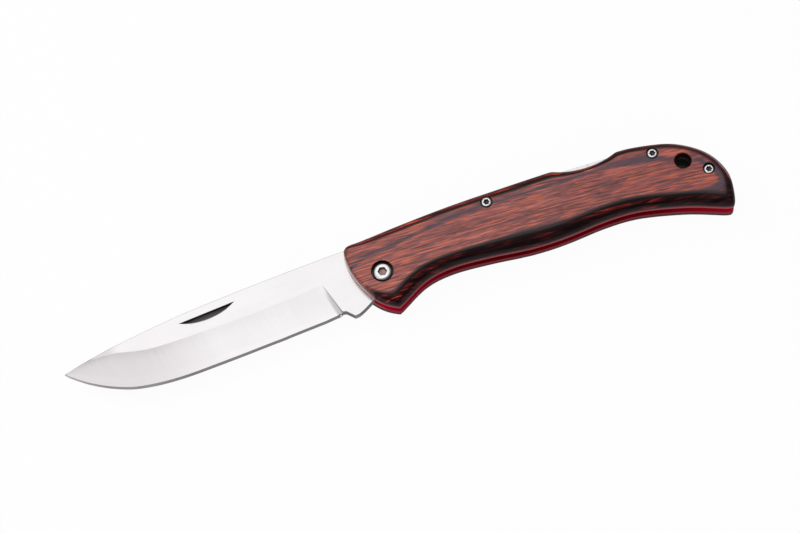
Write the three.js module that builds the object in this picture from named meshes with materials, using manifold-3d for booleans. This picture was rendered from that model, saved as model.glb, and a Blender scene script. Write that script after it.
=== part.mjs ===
// Folding pocket knife with a back lock, lying open on its rear scale.
// Millimetres. While it is built, X runs from the blade's tip to the butt, Y from the belly to the
// spine and Z out of the front scale, with the blade's pivot axis at X 0, Y 0 and the rear face at Z 0.
import * as THREE from "three";
import { mergeVertices } from "three/addons/utils/BufferGeometryUtils.js";
import Module from "manifold-3d";

// Thicknesses of the stack, from the rear face to the front face
const scaleThickness = 4.2;
const linerThickness = 1.2;
const bladeThickness = 2.9;
const washerThickness = 0.15;

// Rounding of the scales
const edgeRound = 3.2;
const leastLand = 0.6;
const frontTopRadius = 2.6;
const bellyCornerRadius = 0.5;
const buttCornerRadius = 1.3;
const scallopLipRadius = 3.4;
const scallopDepth = 2.2;
const leastCornerRadius = 0.05;

// Blade and tang
const tangRadius = 8.5;
const notchDepth = 0.9;
const reliefDepth = 1.1;
const bevelWidth = 1.15;
const bevelThickness = 0.8;
const edgeThickness = 0.14;
const nickDepth = 0.6;
const nickSag = 2.4;
const closedAngle = 177;

// Lock bar and its spring
const hookClearance = 0.15;
const hookDrop = 0.75;
const shoulderGap = 0.35;
const hookLength = 6.25;
const barClearance = 0.8;
const barEndGap = 0.6;
const springThickness = 1.0;
const springReach = 16;
const springBend = 2;
const springSeatDepth = 6.4;
const springGap = 0.08;
const slotClearance = 0.12;
const spacerDrop = 4.6;
const spacerSlope = 1.8;

// Fasteners
const barrelRadius = 2.0;
const pivotHeadRadius = 3.0;
const pivotHeadHeight = 1.8;
const pivotRecessRadius = 3.45;
const pivotRecessDepth = 2.0;
const pivotShankRadius = 1.4;
const hexAcrossFlats = 2.55;
const hexDepth = 1.3;
const washerRadius = 6.0;
const smallBarrelRadius = 1.5;
const smallHeadRadius = 1.62;
const smallHeadHeight = 1.1;
const smallRecessRadius = 1.95;
const smallShankRadius = 0.75;
const smallShankLength = 3.6;
const barrelInScale = 1.4;
const socketRadius = 0.86;
const socketDepth = 0.8;
const lobeDepth = 0.1;
const rimShare = 0.35;
const pointShare = 0.2;
const runningGap = 0.08;
const wallGap = 0.1;
const backHeadSunk = 0.15;
const lanyardRadius = 2.55;
const wellClearance = 0.6;

// Places of the holes, each with how deep its front screw head is sunk
const lockPin = { x: 38.7, y: 9.7, sunk: -0.1 };
const midPin = { x: 93.6, y: 5.9, sunk: 0.05 };
const buttPin = { x: 108.2, y: -5.5, sunk: 0.45 };
const lanyard = { x: 101.6, y: 0.1 };
const pivot = { x: 0, y: 0 };

// Outline of the handle, counter-clockwise from the sharp corner at the front of the belly
const bellyCorner = [1.2, -11.9];
const bellyCurve = [
  [4.7, -10.2],
  [10.2, -7.4],
  [14.8, -6.0],
  [22, -5.45],
  [33, -6.5],
  [47.5, -8.7],
  [57, -9.2],
  [66, -8.9],
  [74, -8.7],
  [83, -9.5],
  [98.5, -13.9],
  [106, -17.1],
];
const buttCorner = [111.6, -19.3];
const buttCurve = [
  [113.3, -14],
  [114, -9.5],
  [113.2, -5],
  [110.9, -0.3],
  [107, 3.8],
  [101, 7.6],
  [93.2, 10],
  [87.5, 11.1],
];
const scallopEnd = [83.4, 11.5];
const scallopStart = [61.8, 12.75];
const spineCurve = [
  [57.5, 12.95],
  [43, 13.4],
  [27, 13.7],
  [10.6, 13.4],
  [-3.6, 12.8],
];
const frontTopCorner = [-9.1, 12.65];
const frontCurve = [
  [-9.4, 7.6],
  [-9.2, 4.2],
  [-8.3, 0.5],
  [-6.9, -3.2],
  [-4.9, -6.7],
  [-2.6, -9.3],
];

// Outline of the blade: spine from the shoulder to the tip, edge from the heel to the tip
const shoulder = [-3.9, 12.85];
const spineOfBlade = [
  [-17, 12.85],
  [-39, 12.5],
  [-60.4, 11.75],
  [-73.6, 10.7],
  [-81.7, 9.85],
  [-90.1, 8.85],
  [-95.7, 7.9],
  [-101.3, 7],
];
const tip = [-103.8, 6.4];
const edgeOfBlade = [
  [-16.7, -7.2],
  [-35, -7.7],
  [-58, -8.1],
  [-70, -8],
  [-78.7, -7.15],
  [-85.2, -5.85],
  [-91.8, -3],
  [-98.3, 1.2],
];
const heelNotch = [
  [-15.7, -6.3],
  [-14.7, -6.6],
];
const kickTip = [-12.6, -8.95];
const kickCurve = [
  [-11, -8.8],
  [-9.6, -8.25],
  [-8, -7.5],
  [-6.5, -6.7],
];
const ridgeOfGrind = [
  [-18.8, 4.8],
  [-30, 4.1],
  [-45, 3.75],
  [-62, 4.1],
  [-74, 4.6],
  [-84, 6.2],
  [-92, 8.4],
  [-104.5, 12.6],
];
const nickEnds = [
  [-65.2, 8.95],
  [-46.4, 9.65],
];

// Angles in degrees: the relief and the full circle of the tang, and the facets of a dome
const reliefFrom = -127;
const reliefTo = -57;
const circleFrom = -55;
const domeAngles = [25, 50, 72];
const roundAngles = [0, 22, 44, 66, 90];

// How many steps the round stretches get
const steps = { belly: 26, butt: 14, scallop: 8, spine: 10, front: 7, fillet: 5, edge: 30, bladeSpine: 20 };
const boreFacets = 28;
const headFacets = 32;
const barrelFacets = 20;
const smallHeadFacets = 18;
const tangFacets = 72;
const lobeFacets = 24;
const springSteps = 12;

// How far a cutter reaches past the metal
const past = 1;
const farPast = 10;

// Levels of the stack
const rearLinerFloor = scaleThickness;
const wellFloor = rearLinerFloor + linerThickness;
const bladeFloor = wellFloor + washerThickness;
const bladeTop = bladeFloor + bladeThickness;
const wellTop = bladeTop + washerThickness;
const frontLinerTop = wellTop + linerThickness;
const frontFace = frontLinerTop + scaleThickness;
const midPlane = (bladeFloor + bladeTop) / 2;

const wasm = await Module();
wasm.setup();

// Solids and meshes

function solidFrom(geometry) {
  const bare = geometry.index ? geometry.toNonIndexed() : geometry.clone();
  bare.deleteAttribute("normal");
  bare.deleteAttribute("uv");
  const merged = mergeVertices(bare, 1e-5);
  const corners = merged.index.array;
  const kept = [];
  for (let i = 0; i < corners.length; i += 3) {
    const [a, b, c] = corners.slice(i, i + 3);
    if (a !== b && b !== c && c !== a) kept.push(a, b, c);
  }
  const mesh = new wasm.Mesh({
    numProp: 3,
    vertProperties: merged.attributes.position.array,
    triVerts: new Uint32Array(kept),
  });
  return new wasm.Manifold(mesh);
}

function geometryFrom(solid) {
  const mesh = solid.getMesh();
  const positions = new Float32Array(mesh.numVert * 3);
  for (let i = 0; i < mesh.numVert; i++) {
    const start = i * mesh.numProp;
    positions.set(mesh.vertProperties.subarray(start, start + 3), i * 3);
  }
  const geometry = new THREE.BufferGeometry();
  geometry.setAttribute("position", new THREE.BufferAttribute(positions, 3));
  geometry.setIndex(new THREE.BufferAttribute(new Uint32Array(mesh.triVerts), 1));
  geometry.computeVertexNormals();
  return geometry;
}

// A solid carried from ring to ring; each ring is a list of [x, y, z] with the same number of points
function lofted(rings) {
  const count = rings[0].length;
  const positions = rings.flat(2);
  const faces = [];
  for (let r = 0; r + 1 < rings.length; r++) {
    for (let i = 0; i < count; i++) {
      const next = (i + 1) % count;
      const low = r * count;
      const high = low + count;
      faces.push(low + i, low + next, high + next, low + i, high + next, high + i);
    }
  }
  return { positions, faces, count };
}

function closedGeometry(shell, startCap, endCap) {
  const last = shell.positions.length / 3 - shell.count;
  for (const [a, b, c] of startCap) shell.faces.push(a, c, b);
  for (const [a, b, c] of endCap) shell.faces.push(last + a, last + b, last + c);
  const geometry = new THREE.BufferGeometry();
  geometry.setAttribute("position", new THREE.Float32BufferAttribute(shell.positions, 3));
  geometry.setIndex(shell.faces);
  return geometry;
}

// Stacked outlines: each layer is { outline, z }, from low to high
function stacked(layers) {
  const shell = lofted(layers.map(({ outline, z }) => outline.map(([x, y]) => [x, y, z])));
  const flat = (layer) => layer.outline.map(([x, y]) => new THREE.Vector2(x, y));
  const startCap = THREE.ShapeUtils.triangulateShape(flat(layers[0]), []);
  const endCap = THREE.ShapeUtils.triangulateShape(flat(layers[layers.length - 1]), []);
  return solidFrom(closedGeometry(shell, startCap, endCap));
}

function prism(outline, low, high) {
  const shape = new THREE.Shape(outline.map(([x, y]) => new THREE.Vector2(x, y)));
  const geometry = new THREE.ExtrudeGeometry(shape, { depth: high - low, bevelEnabled: false });
  return solidFrom(geometry.translate(0, 0, low));
}

// A turned solid on a vertical axis; the profile lists [radius, z] upwards along the outside
function turned(profile, place, segments) {
  const points = profile.map(([radius, z]) => new THREE.Vector2(radius, z));
  const geometry = new THREE.LatheGeometry(points, segments).rotateX(Math.PI / 2);
  return solidFrom(geometry.translate(place.x, place.y, 0));
}

function cylinder(place, radius, low, high, segments = boreFacets) {
  const profile = [
    [0, low],
    [radius, low],
    [radius, high],
    [0, high],
  ];
  return turned(profile, place, segments);
}

// Outlines

function smoothRun(points, count) {
  const vectors = points.map(([x, y]) => new THREE.Vector3(x, y, 0));
  const curve = new THREE.CatmullRomCurve3(vectors, false, "centripetal");
  return curve.getSpacedPoints(count).map((p) => [p.x, p.y]);
}

function arc(radius, from, to, count, centre = [0, 0]) {
  const points = [];
  for (let i = 0; i <= count; i++) {
    const angle = THREE.MathUtils.degToRad(from + ((to - from) * i) / count);
    points.push([centre[0] + radius * Math.cos(angle), centre[1] + radius * Math.sin(angle)]);
  }
  return points;
}

function rotated([x, y], degrees) {
  const angle = THREE.MathUtils.degToRad(degrees);
  return [x * Math.cos(angle) - y * Math.sin(angle), x * Math.sin(angle) + y * Math.cos(angle)];
}

function degreesOf([x, y]) {
  return THREE.MathUtils.radToDeg(Math.atan2(y, x));
}

// Points on the arc through two ends that sags to the left of the way, or to the right if sag is negative
function saggingArc(start, end, sag, count) {
  const chord = new THREE.Vector2(end[0] - start[0], end[1] - start[1]);
  const half = chord.length() / 2;
  const radius = (half * half + sag * sag) / (2 * Math.abs(sag));
  const along = chord.clone().normalize();
  const points = [];
  for (let i = 1; i < count; i++) {
    const s = ((2 * i) / count - 1) * half;
    const depth = Math.sign(sag) * (Math.sqrt(radius * radius - s * s) - radius + Math.abs(sag));
    const t = s + half;
    points.push([start[0] + along.x * t - along.y * depth, start[1] + along.y * t + along.x * depth]);
  }
  return points;
}

// The handle's outline as corners, each [x, y, fillet radius], with or without the thumb scallop
function handleCorners(scalloped) {
  const lip = scalloped ? scallopLipRadius : 0;
  const scallop = scalloped ? saggingArc(scallopEnd, scallopStart, scallopDepth, steps.scallop) : [];
  return [
    [...bellyCorner, bellyCornerRadius],
    ...smoothRun(bellyCurve, steps.belly).map((p) => [...p, 0]),
    [...buttCorner, buttCornerRadius],
    ...smoothRun(buttCurve, steps.butt).map((p) => [...p, 0]),
    [...scallopEnd, lip],
    ...scallop.map((p) => [...p, 0]),
    [...scallopStart, lip],
    ...smoothRun(spineCurve, steps.spine).map((p) => [...p, 0]),
    [...frontTopCorner, frontTopRadius],
    ...smoothRun(frontCurve, steps.front).map((p) => [...p, 0]),
  ];
}

// An outline moved inwards by inset, with its corners filleted; the fillets shrink as it moves in
function insetOutline(corners, inset) {
  const count = corners.length;
  const direction = (a, b) => new THREE.Vector2(b[0] - a[0], b[1] - a[1]).normalize();
  const moved = corners.map((corner, i) => {
    const before = direction(corners[(i + count - 1) % count], corner);
    const after = direction(corner, corners[(i + 1) % count]);
    const normal = new THREE.Vector2(-before.y - after.y, before.x + after.x).normalize();
    const stretch = inset / normal.dot(new THREE.Vector2(-after.y, after.x));
    return [corner[0] + normal.x * stretch, corner[1] + normal.y * stretch];
  });
  return moved.flatMap((point, i) => {
    if (corners[i][2] === 0) return [point];
    const before = direction(moved[(i + count - 1) % count], point);
    const after = direction(point, moved[(i + 1) % count]);
    const radius = Math.max(corners[i][2] - inset, leastCornerRadius);
    return fillet(point, before, after, radius);
  });
}

function fillet(point, before, after, radius) {
  const turn = Math.atan2(before.cross(after), before.dot(after));
  const setBack = radius * Math.tan(turn / 2);
  const start = [point[0] - before.x * setBack, point[1] - before.y * setBack];
  const centre = [start[0] - before.y * radius, start[1] + before.x * radius];
  const first = Math.atan2(-before.x, before.y);
  const points = [];
  for (let i = 0; i <= steps.fillet; i++) {
    const angle = first + (turn * i) / steps.fillet;
    points.push([centre[0] + radius * Math.cos(angle), centre[1] + radius * Math.sin(angle)]);
  }
  return points;
}

// The blade's outline, counter-clockwise from the tip along the edge and round the tang
function bladeOutline() {
  const reliefRadius = tangRadius - reliefDepth;
  const notchRadius = tangRadius - notchDepth;
  const notchEnd = shoulder[0] + shoulderGap + hookLength + hookDrop / 2;
  const onCircle = (radius, x) => degreesOf([x, Math.sqrt(radius * radius - x * x)]);
  return [
    tip,
    ...smoothRun([...edgeOfBlade, tip], steps.edge).slice(0, -1).reverse(),
    ...heelNotch,
    kickTip,
    ...kickCurve,
    ...arc(reliefRadius, reliefFrom, reliefTo, 8),
    ...arc(tangRadius, circleFrom, onCircle(tangRadius, notchEnd), 14),
    ...arc(notchRadius, onCircle(notchRadius, notchEnd), onCircle(notchRadius, shoulder[0]), 6),
    shoulder,
    ...smoothRun([shoulder, ...spineOfBlade, tip], steps.bladeSpine).slice(1, -1),
  ];
}

// The space that the closing blade needs: the closed edge and the circle of its tip, with clearance
function wellOutline() {
  const edge = smoothRun([...edgeOfBlade, tip], 16).map((p) => rotated(p, closedAngle));
  const reach = Math.hypot(...tip) + wellClearance;
  const raised = edge.map((point, i) => {
    const a = edge[Math.max(i - 1, 0)];
    const b = edge[Math.min(i + 1, edge.length - 1)];
    const length = Math.hypot(b[0] - a[0], b[1] - a[1]);
    const side = [-(b[1] - a[1]) / length, (b[0] - a[0]) / length];
    return [point[0] + side[0] * wellClearance, point[1] + side[1] * wellClearance];
  });
  const tipAngle = degreesOf(edge[edge.length - 1]);
  const sweep = 30;
  return [
    [raised[0][0], -reach],
    ...arc(reach, tipAngle - sweep, tipAngle - sweep / 60, 10),
    ...raised.reverse(),
  ];
}

// Handle slabs and liners

const scallopedCorners = handleCorners(true);
const handleOutline = insetOutline(scallopedCorners, 0);
const plainOutline = insetOutline(handleCorners(false), 0);

// A scale whose outer edge is rounded over; the inner face is at inner, the outer face at outer
function roundedSlab(inner, outer) {
  const outward = Math.sign(outer - inner);
  const rise = Math.min(edgeRound, scaleThickness - leastLand);
  const layers = [{ outline: handleOutline, z: inner }];
  for (const degrees of roundAngles) {
    const angle = THREE.MathUtils.degToRad(degrees);
    layers.push({
      outline: insetOutline(scallopedCorners, edgeRound * (1 - Math.cos(angle))),
      z: degrees === 90 ? outer : outer - outward * rise * (1 - Math.sin(angle)),
    });
  }
  if (outward < 0) layers.reverse();
  return stacked(layers);
}

function scale(inner, outer, pins) {
  const outward = Math.sign(outer - inner);
  const along = (from, to) => [Math.min(from, to), Math.max(from, to)];
  const beyond = outer + outward * past;
  let slab = roundedSlab(inner, outer);
  const bore = (place, radius, from, to) => {
    slab = slab.subtract(cylinder(place, radius, ...along(from, to)));
  };
  bore(pivot, barrelRadius + runningGap, inner - outward * past, beyond);
  bore(pivot, pivotRecessRadius, outer - outward * pivotRecessDepth, beyond);
  bore(lanyard, lanyardRadius, inner - outward * past, beyond);
  for (const pin of pins) {
    const seat = outer - outward * (pin.sunk + smallHeadHeight);
    const barrelSeat = inner + outward * (barrelInScale + wallGap);
    bore(pin, smallBarrelRadius + runningGap, inner - outward * past, barrelSeat);
    bore(pin, smallShankRadius + wallGap, inner, outer);
    bore(pin, smallRecessRadius, seat, beyond);
  }
  return slab;
}

function liner(low, high) {
  let sheet = prism(handleOutline, low, high);
  const pins = [lockPin, midPin, buttPin];
  sheet = sheet.subtract(cylinder(pivot, barrelRadius + runningGap, low - past, high + past));
  sheet = sheet.subtract(cylinder(lanyard, lanyardRadius, low - past, high + past));
  for (const pin of pins) {
    sheet = sheet.subtract(cylinder(pin, smallBarrelRadius + runningGap, low - past, high + past));
  }
  return sheet;
}

// Blade

// A cutter that leaves the ground side and the edge bevel; side is +1 in front and -1 behind
function grindCutter(side) {
  const stations = 24;
  const plungeFoot = [heelNotch[0][0], edgeOfBlade[0][1]];
  const ridge = smoothRun(ridgeOfGrind, stations);
  const edge = smoothRun([plungeFoot, ...edgeOfBlade, tip], stations);
  const half = bladeThickness / 2;
  const lift = past / 2;
  const reach = 3 * past;
  const sections = ridge.map((top, i) => {
    const low = edge[i];
    const length = Math.hypot(low[0] - top[0], low[1] - top[1]);
    const at = (distance, height) => [
      top[0] + ((low[0] - top[0]) * distance) / length,
      top[1] + ((low[1] - top[1]) * distance) / length,
      midPlane + side * height,
    ];
    const grindSlope = (half - bevelThickness / 2) / (length - bevelWidth);
    const section = [
      at(-lift / grindSlope, half + lift),
      at(length - bevelWidth, bevelThickness / 2),
      at(length, edgeThickness / 2),
      at(length + reach, edgeThickness / 2),
      at(length + reach, half + reach),
      at(-lift / grindSlope, half + reach),
    ];
    return side > 0 ? section : section.reverse();
  });
  const cap = [];
  for (let i = 1; i + 1 < sections[0].length; i++) cap.push([0, i, i + 1]);
  return solidFrom(closedGeometry(lofted(sections), cap, cap));
}

function blade() {
  const [left, right] = nickEnds;
  const nick = [left, ...saggingArc(left, right, -nickSag, 10), right];
  return prism(bladeOutline(), bladeFloor, bladeTop)
    .subtract(grindCutter(1))
    .subtract(grindCutter(-1))
    .subtract(prism(nick, bladeTop - nickDepth, bladeTop + past))
    .subtract(cylinder(pivot, barrelRadius + runningGap, bladeFloor - past, bladeTop + past));
}

// Lock bar, spring and spacer

const heelClosed = rotated(edgeOfBlade[0], closedAngle);
const kickClosed = rotated(kickTip, closedAngle);
const barUnderside = heelClosed[1] + barClearance;
const barEnd = scallopEnd[0] - barEndGap / 2;

function lockBar() {
  const hookFront = shoulder[0] + shoulderGap;
  const hookRear = hookFront + hookLength;
  const pocketTop = kickClosed[1] + hookDrop + barClearance;
  const pocketEnd = Math.hypot(...kickTip) + barClearance * 2;
  const top = spineCurve[0][1] + farPast;
  const region = [
    [hookFront, 0],
    [hookRear, 0],
    [hookRear, pocketTop],
    [pocketEnd, pocketTop],
    [pocketEnd, barUnderside],
    [barEnd, barUnderside],
    [barEnd, top],
    [hookFront, top],
  ];
  return prism(region, bladeFloor, bladeTop)
    .intersect(prism(plainOutline, bladeFloor - past, bladeTop + past))
    .subtract(cylinder(pivot, tangRadius + hookClearance, bladeFloor - past, bladeTop + past, tangFacets))
    .subtract(cylinder(lockPin, smallBarrelRadius + runningGap, bladeFloor - past, bladeTop + past));
}

// The spring's centre line, a parabola from its seat in the spacer to the tail of the lock bar
function springLine() {
  const tipHeight = barUnderside - springGap - springThickness / 2;
  const seat = barEnd + barEndGap + springSeatDepth;
  const free = barEnd - springReach;
  const points = [];
  for (let i = 0; i <= springSteps; i++) {
    const t = 1 - i / springSteps;
    points.push([free + (seat - free) * t, tipHeight - springBend * t * t]);
  }
  return points;
}

function ribbon(points, thickness) {
  const side = points.map((point, i) => {
    const a = points[Math.max(i - 1, 0)];
    const b = points[Math.min(i + 1, points.length - 1)];
    const length = Math.hypot(b[0] - a[0], b[1] - a[1]);
    return [(-(b[1] - a[1]) / length) * (thickness / 2), ((b[0] - a[0]) / length) * (thickness / 2)];
  });
  const upper = points.map((point, i) => [point[0] + side[i][0], point[1] + side[i][1]]);
  const lower = points.map((point, i) => [point[0] - side[i][0], point[1] - side[i][1]]);
  return [...upper, ...lower.reverse()];
}

function leafSpring() {
  return prism(ribbon(springLine(), springThickness), bladeFloor, bladeTop);
}

function buttSpacer() {
  const front = barEnd + barEndGap;
  const far = buttCorner[0] + farPast;
  const floor = buttPin.y - smallBarrelRadius - spacerDrop;
  const region = [
    [front, floor],
    [far, floor - spacerSlope],
    [far, far],
    [front, far],
  ];
  const slot = ribbon(springLine(), springThickness + 2 * slotClearance);
  const seatEnd = springLine()[0];
  const slotEnd = { x: seatEnd[0], y: seatEnd[1] };
  const below = wellFloor - past;
  const above = wellTop + past;
  let block = prism(region, wellFloor, wellTop)
    .intersect(prism(handleOutline, below, above))
    .subtract(prism(wellOutline(), below, above))
    .subtract(prism(slot, below, above))
    .subtract(cylinder(slotEnd, springThickness / 2 + slotClearance, below, above))
    .subtract(cylinder(lanyard, lanyardRadius, below, above));
  for (const pin of [midPin, buttPin]) {
    block = block.subtract(cylinder(pin, smallBarrelRadius + runningGap, below, above));
  }
  return block;
}

// Fasteners

// A domed head as [radius, height above its seat], from the rim to the middle
function domedHead(radius, height) {
  const rim = height * rimShare;
  const dome = domeAngles.map((degrees) => {
    const angle = THREE.MathUtils.degToRad(degrees);
    return [radius * Math.cos(angle), rim + (height - rim) * Math.sin(angle)];
  });
  return [[radius, 0], [radius, rim], ...dome, [0, height]];
}

// A domed screw standing on its seat; the shank goes down to end
function screwBody(place, seat, end, head, shank, segments) {
  const point = shank * pointShare;
  const profile = [
    [0, end],
    [shank - point, end],
    [shank, end + point],
    [shank, seat],
    ...domedHead(head.radius, head.height).map(([radius, height]) => [radius, seat + height]),
  ];
  return turned(profile, place, segments);
}

function sixLobes() {
  const points = [];
  for (let i = 0; i < lobeFacets; i++) {
    const angle = (i / lobeFacets) * 2 * Math.PI;
    const reach = socketRadius - lobeDepth * (1 - Math.cos(6 * angle));
    points.push([reach * Math.cos(angle), reach * Math.sin(angle)]);
  }
  return points;
}

function flippedOver(solid) {
  return solid.rotate([180, 0, 0]);
}

function pivotScrew() {
  const seat = frontFace - pivotRecessDepth;
  const head = { radius: pivotHeadRadius, height: pivotHeadHeight };
  const body = screwBody(pivot, seat, bladeFloor, head, pivotShankRadius, headFacets);
  const hexRadius = hexAcrossFlats / Math.sqrt(3);
  const top = seat + pivotHeadHeight;
  return body.subtract(cylinder(pivot, hexRadius, top - hexDepth, top + past, 6));
}

function pivotBarrel() {
  const seat = pivotRecessDepth;
  const top = frontFace - pivotRecessDepth - wallGap;
  const bore = pivotShankRadius + wallGap;
  const head = domedHead(pivotHeadRadius, pivotHeadHeight).reverse();
  const profile = [
    ...head.map(([radius, height]) => [radius, seat - height]),
    [barrelRadius, seat],
    [barrelRadius, top],
    [bore, top],
    [bore, rearLinerFloor],
    [0, rearLinerFloor],
  ];
  return turned(profile, pivot, headFacets);
}

function washer(low) {
  const inner = barrelRadius + runningGap;
  const high = low + washerThickness;
  const profile = [
    [inner, low],
    [washerRadius, low],
    [washerRadius, high],
    [inner, high],
    [inner, low],
  ];
  return turned(profile, pivot, headFacets);
}

function smallBarrel(pin) {
  const low = rearLinerFloor - barrelInScale;
  const high = frontLinerTop + barrelInScale;
  const bore = smallShankRadius + wallGap;
  const profile = [
    [bore, low],
    [smallBarrelRadius, low],
    [smallBarrelRadius, high],
    [bore, high],
    [bore, low],
  ];
  return turned(profile, pin, barrelFacets);
}

function smallScrew(pin, sunk) {
  const seat = scaleThickness - sunk - smallHeadHeight;
  const head = { radius: smallHeadRadius, height: smallHeadHeight };
  const end = seat - smallShankLength;
  const body = screwBody({ x: 0, y: 0 }, seat, end, head, smallShankRadius, smallHeadFacets);
  const top = seat + smallHeadHeight;
  return body.subtract(prism(sixLobes(), top - socketDepth, top + past));
}

function frontScrew(pin) {
  return smallScrew(pin, pin.sunk).translate([pin.x, pin.y, frontLinerTop]);
}

function backScrew(pin) {
  return flippedOver(smallScrew(pin, backHeadSunk)).translate([pin.x, pin.y, scaleThickness]);
}

// Finishes

const finishes = {
  wood: { color: 0x8c3a2e, roughness: 0.35, metalness: 0 },
  redMetal: { color: 0x9c1522, roughness: 0.35, metalness: 0.6 },
  bladeSteel: { color: 0xe8e6e6, roughness: 0.3, metalness: 0.9 },
  barSteel: { color: 0xc8c8ca, roughness: 0.3, metalness: 0.9 },
  springSteel: { color: 0x8e9096, roughness: 0.4, metalness: 0.9 },
  chrome: { color: 0xf2f2f2, roughness: 0.1, metalness: 1 },
  bronze: { color: 0xb08a4a, roughness: 0.4, metalness: 0.8 },
};

const backPins = [lockPin, midPin, buttPin].map((pin) => ({ ...pin, sunk: backHeadSunk }));
const knife = new THREE.Group();

function addPiece(name, solid, finish) {
  const mesh = new THREE.Mesh(geometryFrom(solid), new THREE.MeshStandardMaterial(finishes[finish]));
  mesh.name = name;
  knife.add(mesh);
}

addPiece("scale_back", scale(scaleThickness, 0, backPins), "wood");
addPiece("scale_front", scale(frontLinerTop, frontFace, [lockPin, midPin, buttPin]), "wood");
addPiece("liner_back", liner(rearLinerFloor, wellFloor), "redMetal");
addPiece("liner_front", liner(wellTop, frontLinerTop), "redMetal");
addPiece("blade", blade(), "bladeSteel");
addPiece("lock_bar", lockBar(), "barSteel");
addPiece("leaf_spring", leafSpring(), "springSteel");
addPiece("butt_spacer", buttSpacer(), "barSteel");
addPiece("pivot_screw", pivotScrew(), "chrome");
addPiece("pivot_barrel", pivotBarrel(), "chrome");
addPiece("washer_back", washer(wellFloor), "bronze");
addPiece("washer_front", washer(bladeTop), "bronze");
for (const [name, pin] of Object.entries({ lock: lockPin, mid: midPin, butt: buttPin })) {
  addPiece(`${name}_barrel`, smallBarrel(pin), "barSteel");
  addPiece(`${name}_screw_front`, frontScrew(pin), "chrome");
  addPiece(`${name}_screw_back`, backScrew(pin), "chrome");
}

// The origin is the middle of the knife's outline, on the face that it lies on
const box = new THREE.Box3().setFromObject(knife);
const middle = box.getCenter(new THREE.Vector3());
knife.position.set(-middle.x, -middle.y, 0);
const part = new THREE.Group();
part.add(knife);

export default part;
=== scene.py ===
"""Looks of a folding pocket knife with a back lock, lying open on a white table.

Shapes are in knife millimetres: X runs from tip to butt, Y from belly to spine and Z up out of the front
slab, with the blade's pivot axis at X 0, Y 0.
"""

import math

import bpy
import numpy as np
from mathutils import Matrix, Vector
from mathutils.geometry import delaunay_2d_cdt


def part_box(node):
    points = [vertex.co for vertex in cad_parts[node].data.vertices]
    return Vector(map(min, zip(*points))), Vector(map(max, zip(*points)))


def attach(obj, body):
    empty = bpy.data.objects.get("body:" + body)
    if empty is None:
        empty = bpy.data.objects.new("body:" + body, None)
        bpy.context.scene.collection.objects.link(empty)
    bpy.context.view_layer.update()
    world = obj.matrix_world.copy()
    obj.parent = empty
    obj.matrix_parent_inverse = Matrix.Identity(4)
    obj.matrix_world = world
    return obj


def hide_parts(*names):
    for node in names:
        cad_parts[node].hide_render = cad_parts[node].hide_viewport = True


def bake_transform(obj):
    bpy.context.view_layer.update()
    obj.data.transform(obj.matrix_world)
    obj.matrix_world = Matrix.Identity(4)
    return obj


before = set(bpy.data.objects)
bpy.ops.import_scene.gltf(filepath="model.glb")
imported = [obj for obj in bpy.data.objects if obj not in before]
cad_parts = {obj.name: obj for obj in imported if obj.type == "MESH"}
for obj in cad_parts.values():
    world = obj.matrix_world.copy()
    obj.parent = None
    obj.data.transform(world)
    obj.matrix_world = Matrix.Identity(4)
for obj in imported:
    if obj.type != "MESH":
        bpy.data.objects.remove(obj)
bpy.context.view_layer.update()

# Millimetres of the knife in Blender's metres, and where its pivot axis is in the frame
MM = 0.001
PIVOT = np.array([*(sum(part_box("pivot_screw"), Vector()) / 2 / MM)[:2], 0.0])

# Fineness of the meshes
OUTLINE_STEP = 0.4
CORNER = 28
HOLE_POINTS = 64
HEAD_POINTS = 96

# Slabs: the rounded edge and the crown of the face, rims of the holes, broken inner edge, and degrees of
# the rounding's steps and of its last ring, past which it is loose points
ROUND_RISE = 3.15
CROWN = 0.35
CROWN_REACH = 6.0
RIM_ROUND = 0.12
LANYARD_ROUND = 0.45
SLAB_EDGE = 0.06
TURN_STEP = 6
LAST_RING_TURN = 50

# Width below which the edge is bare of dark veneer, stretches over which that veneer thins out past the
# edge, height of upright wall that is one step of veneer, and points on each side for softening
BARE_WIDTH = 1.3
FADE_SPINE = 3.0
FADE_BELLY = 1.7
FADE_BARE = 0.3
WALL_STEP = 3
SOFTENING = 12

# Width of the rounded edge at places round the handle, as [x, y, width]
ROUND_WIDTHS = [
    [1.2, -11.9, 4.1], [10, -7.4, 4.0], [22, -5.4, 3.1], [33, -6.5, 3.4], [47.5, -8.7, 4.9],
    [57, -9.2, 4.1], [70, -8.8, 3.6], [85, -10, 3.5], [98.5, -13.9, 3.4], [106, -17.1, 4.3],
    [111.6, -19.3, 3.0], [114, -9.5, 2.4], [107, 3.8, 2.6], [93.2, 10, 2.5], [83.4, 11.5, 2.3],
    [72.5, 9.9, 1.7], [61.8, 12.7, 2.9], [50, 13.1, 3.1], [27, 13.7, 2.65], [8, 13.3, 2.8],
    [-3.6, 12.8, 2.5], [-9.1, 12.6, 1.3], [-9.4, 7.6, 0.7], [-8.3, 0.5, 0.7], [-4.9, -6.7, 1.2],
    [-2.6, -9.3, 2.7],
]

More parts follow.
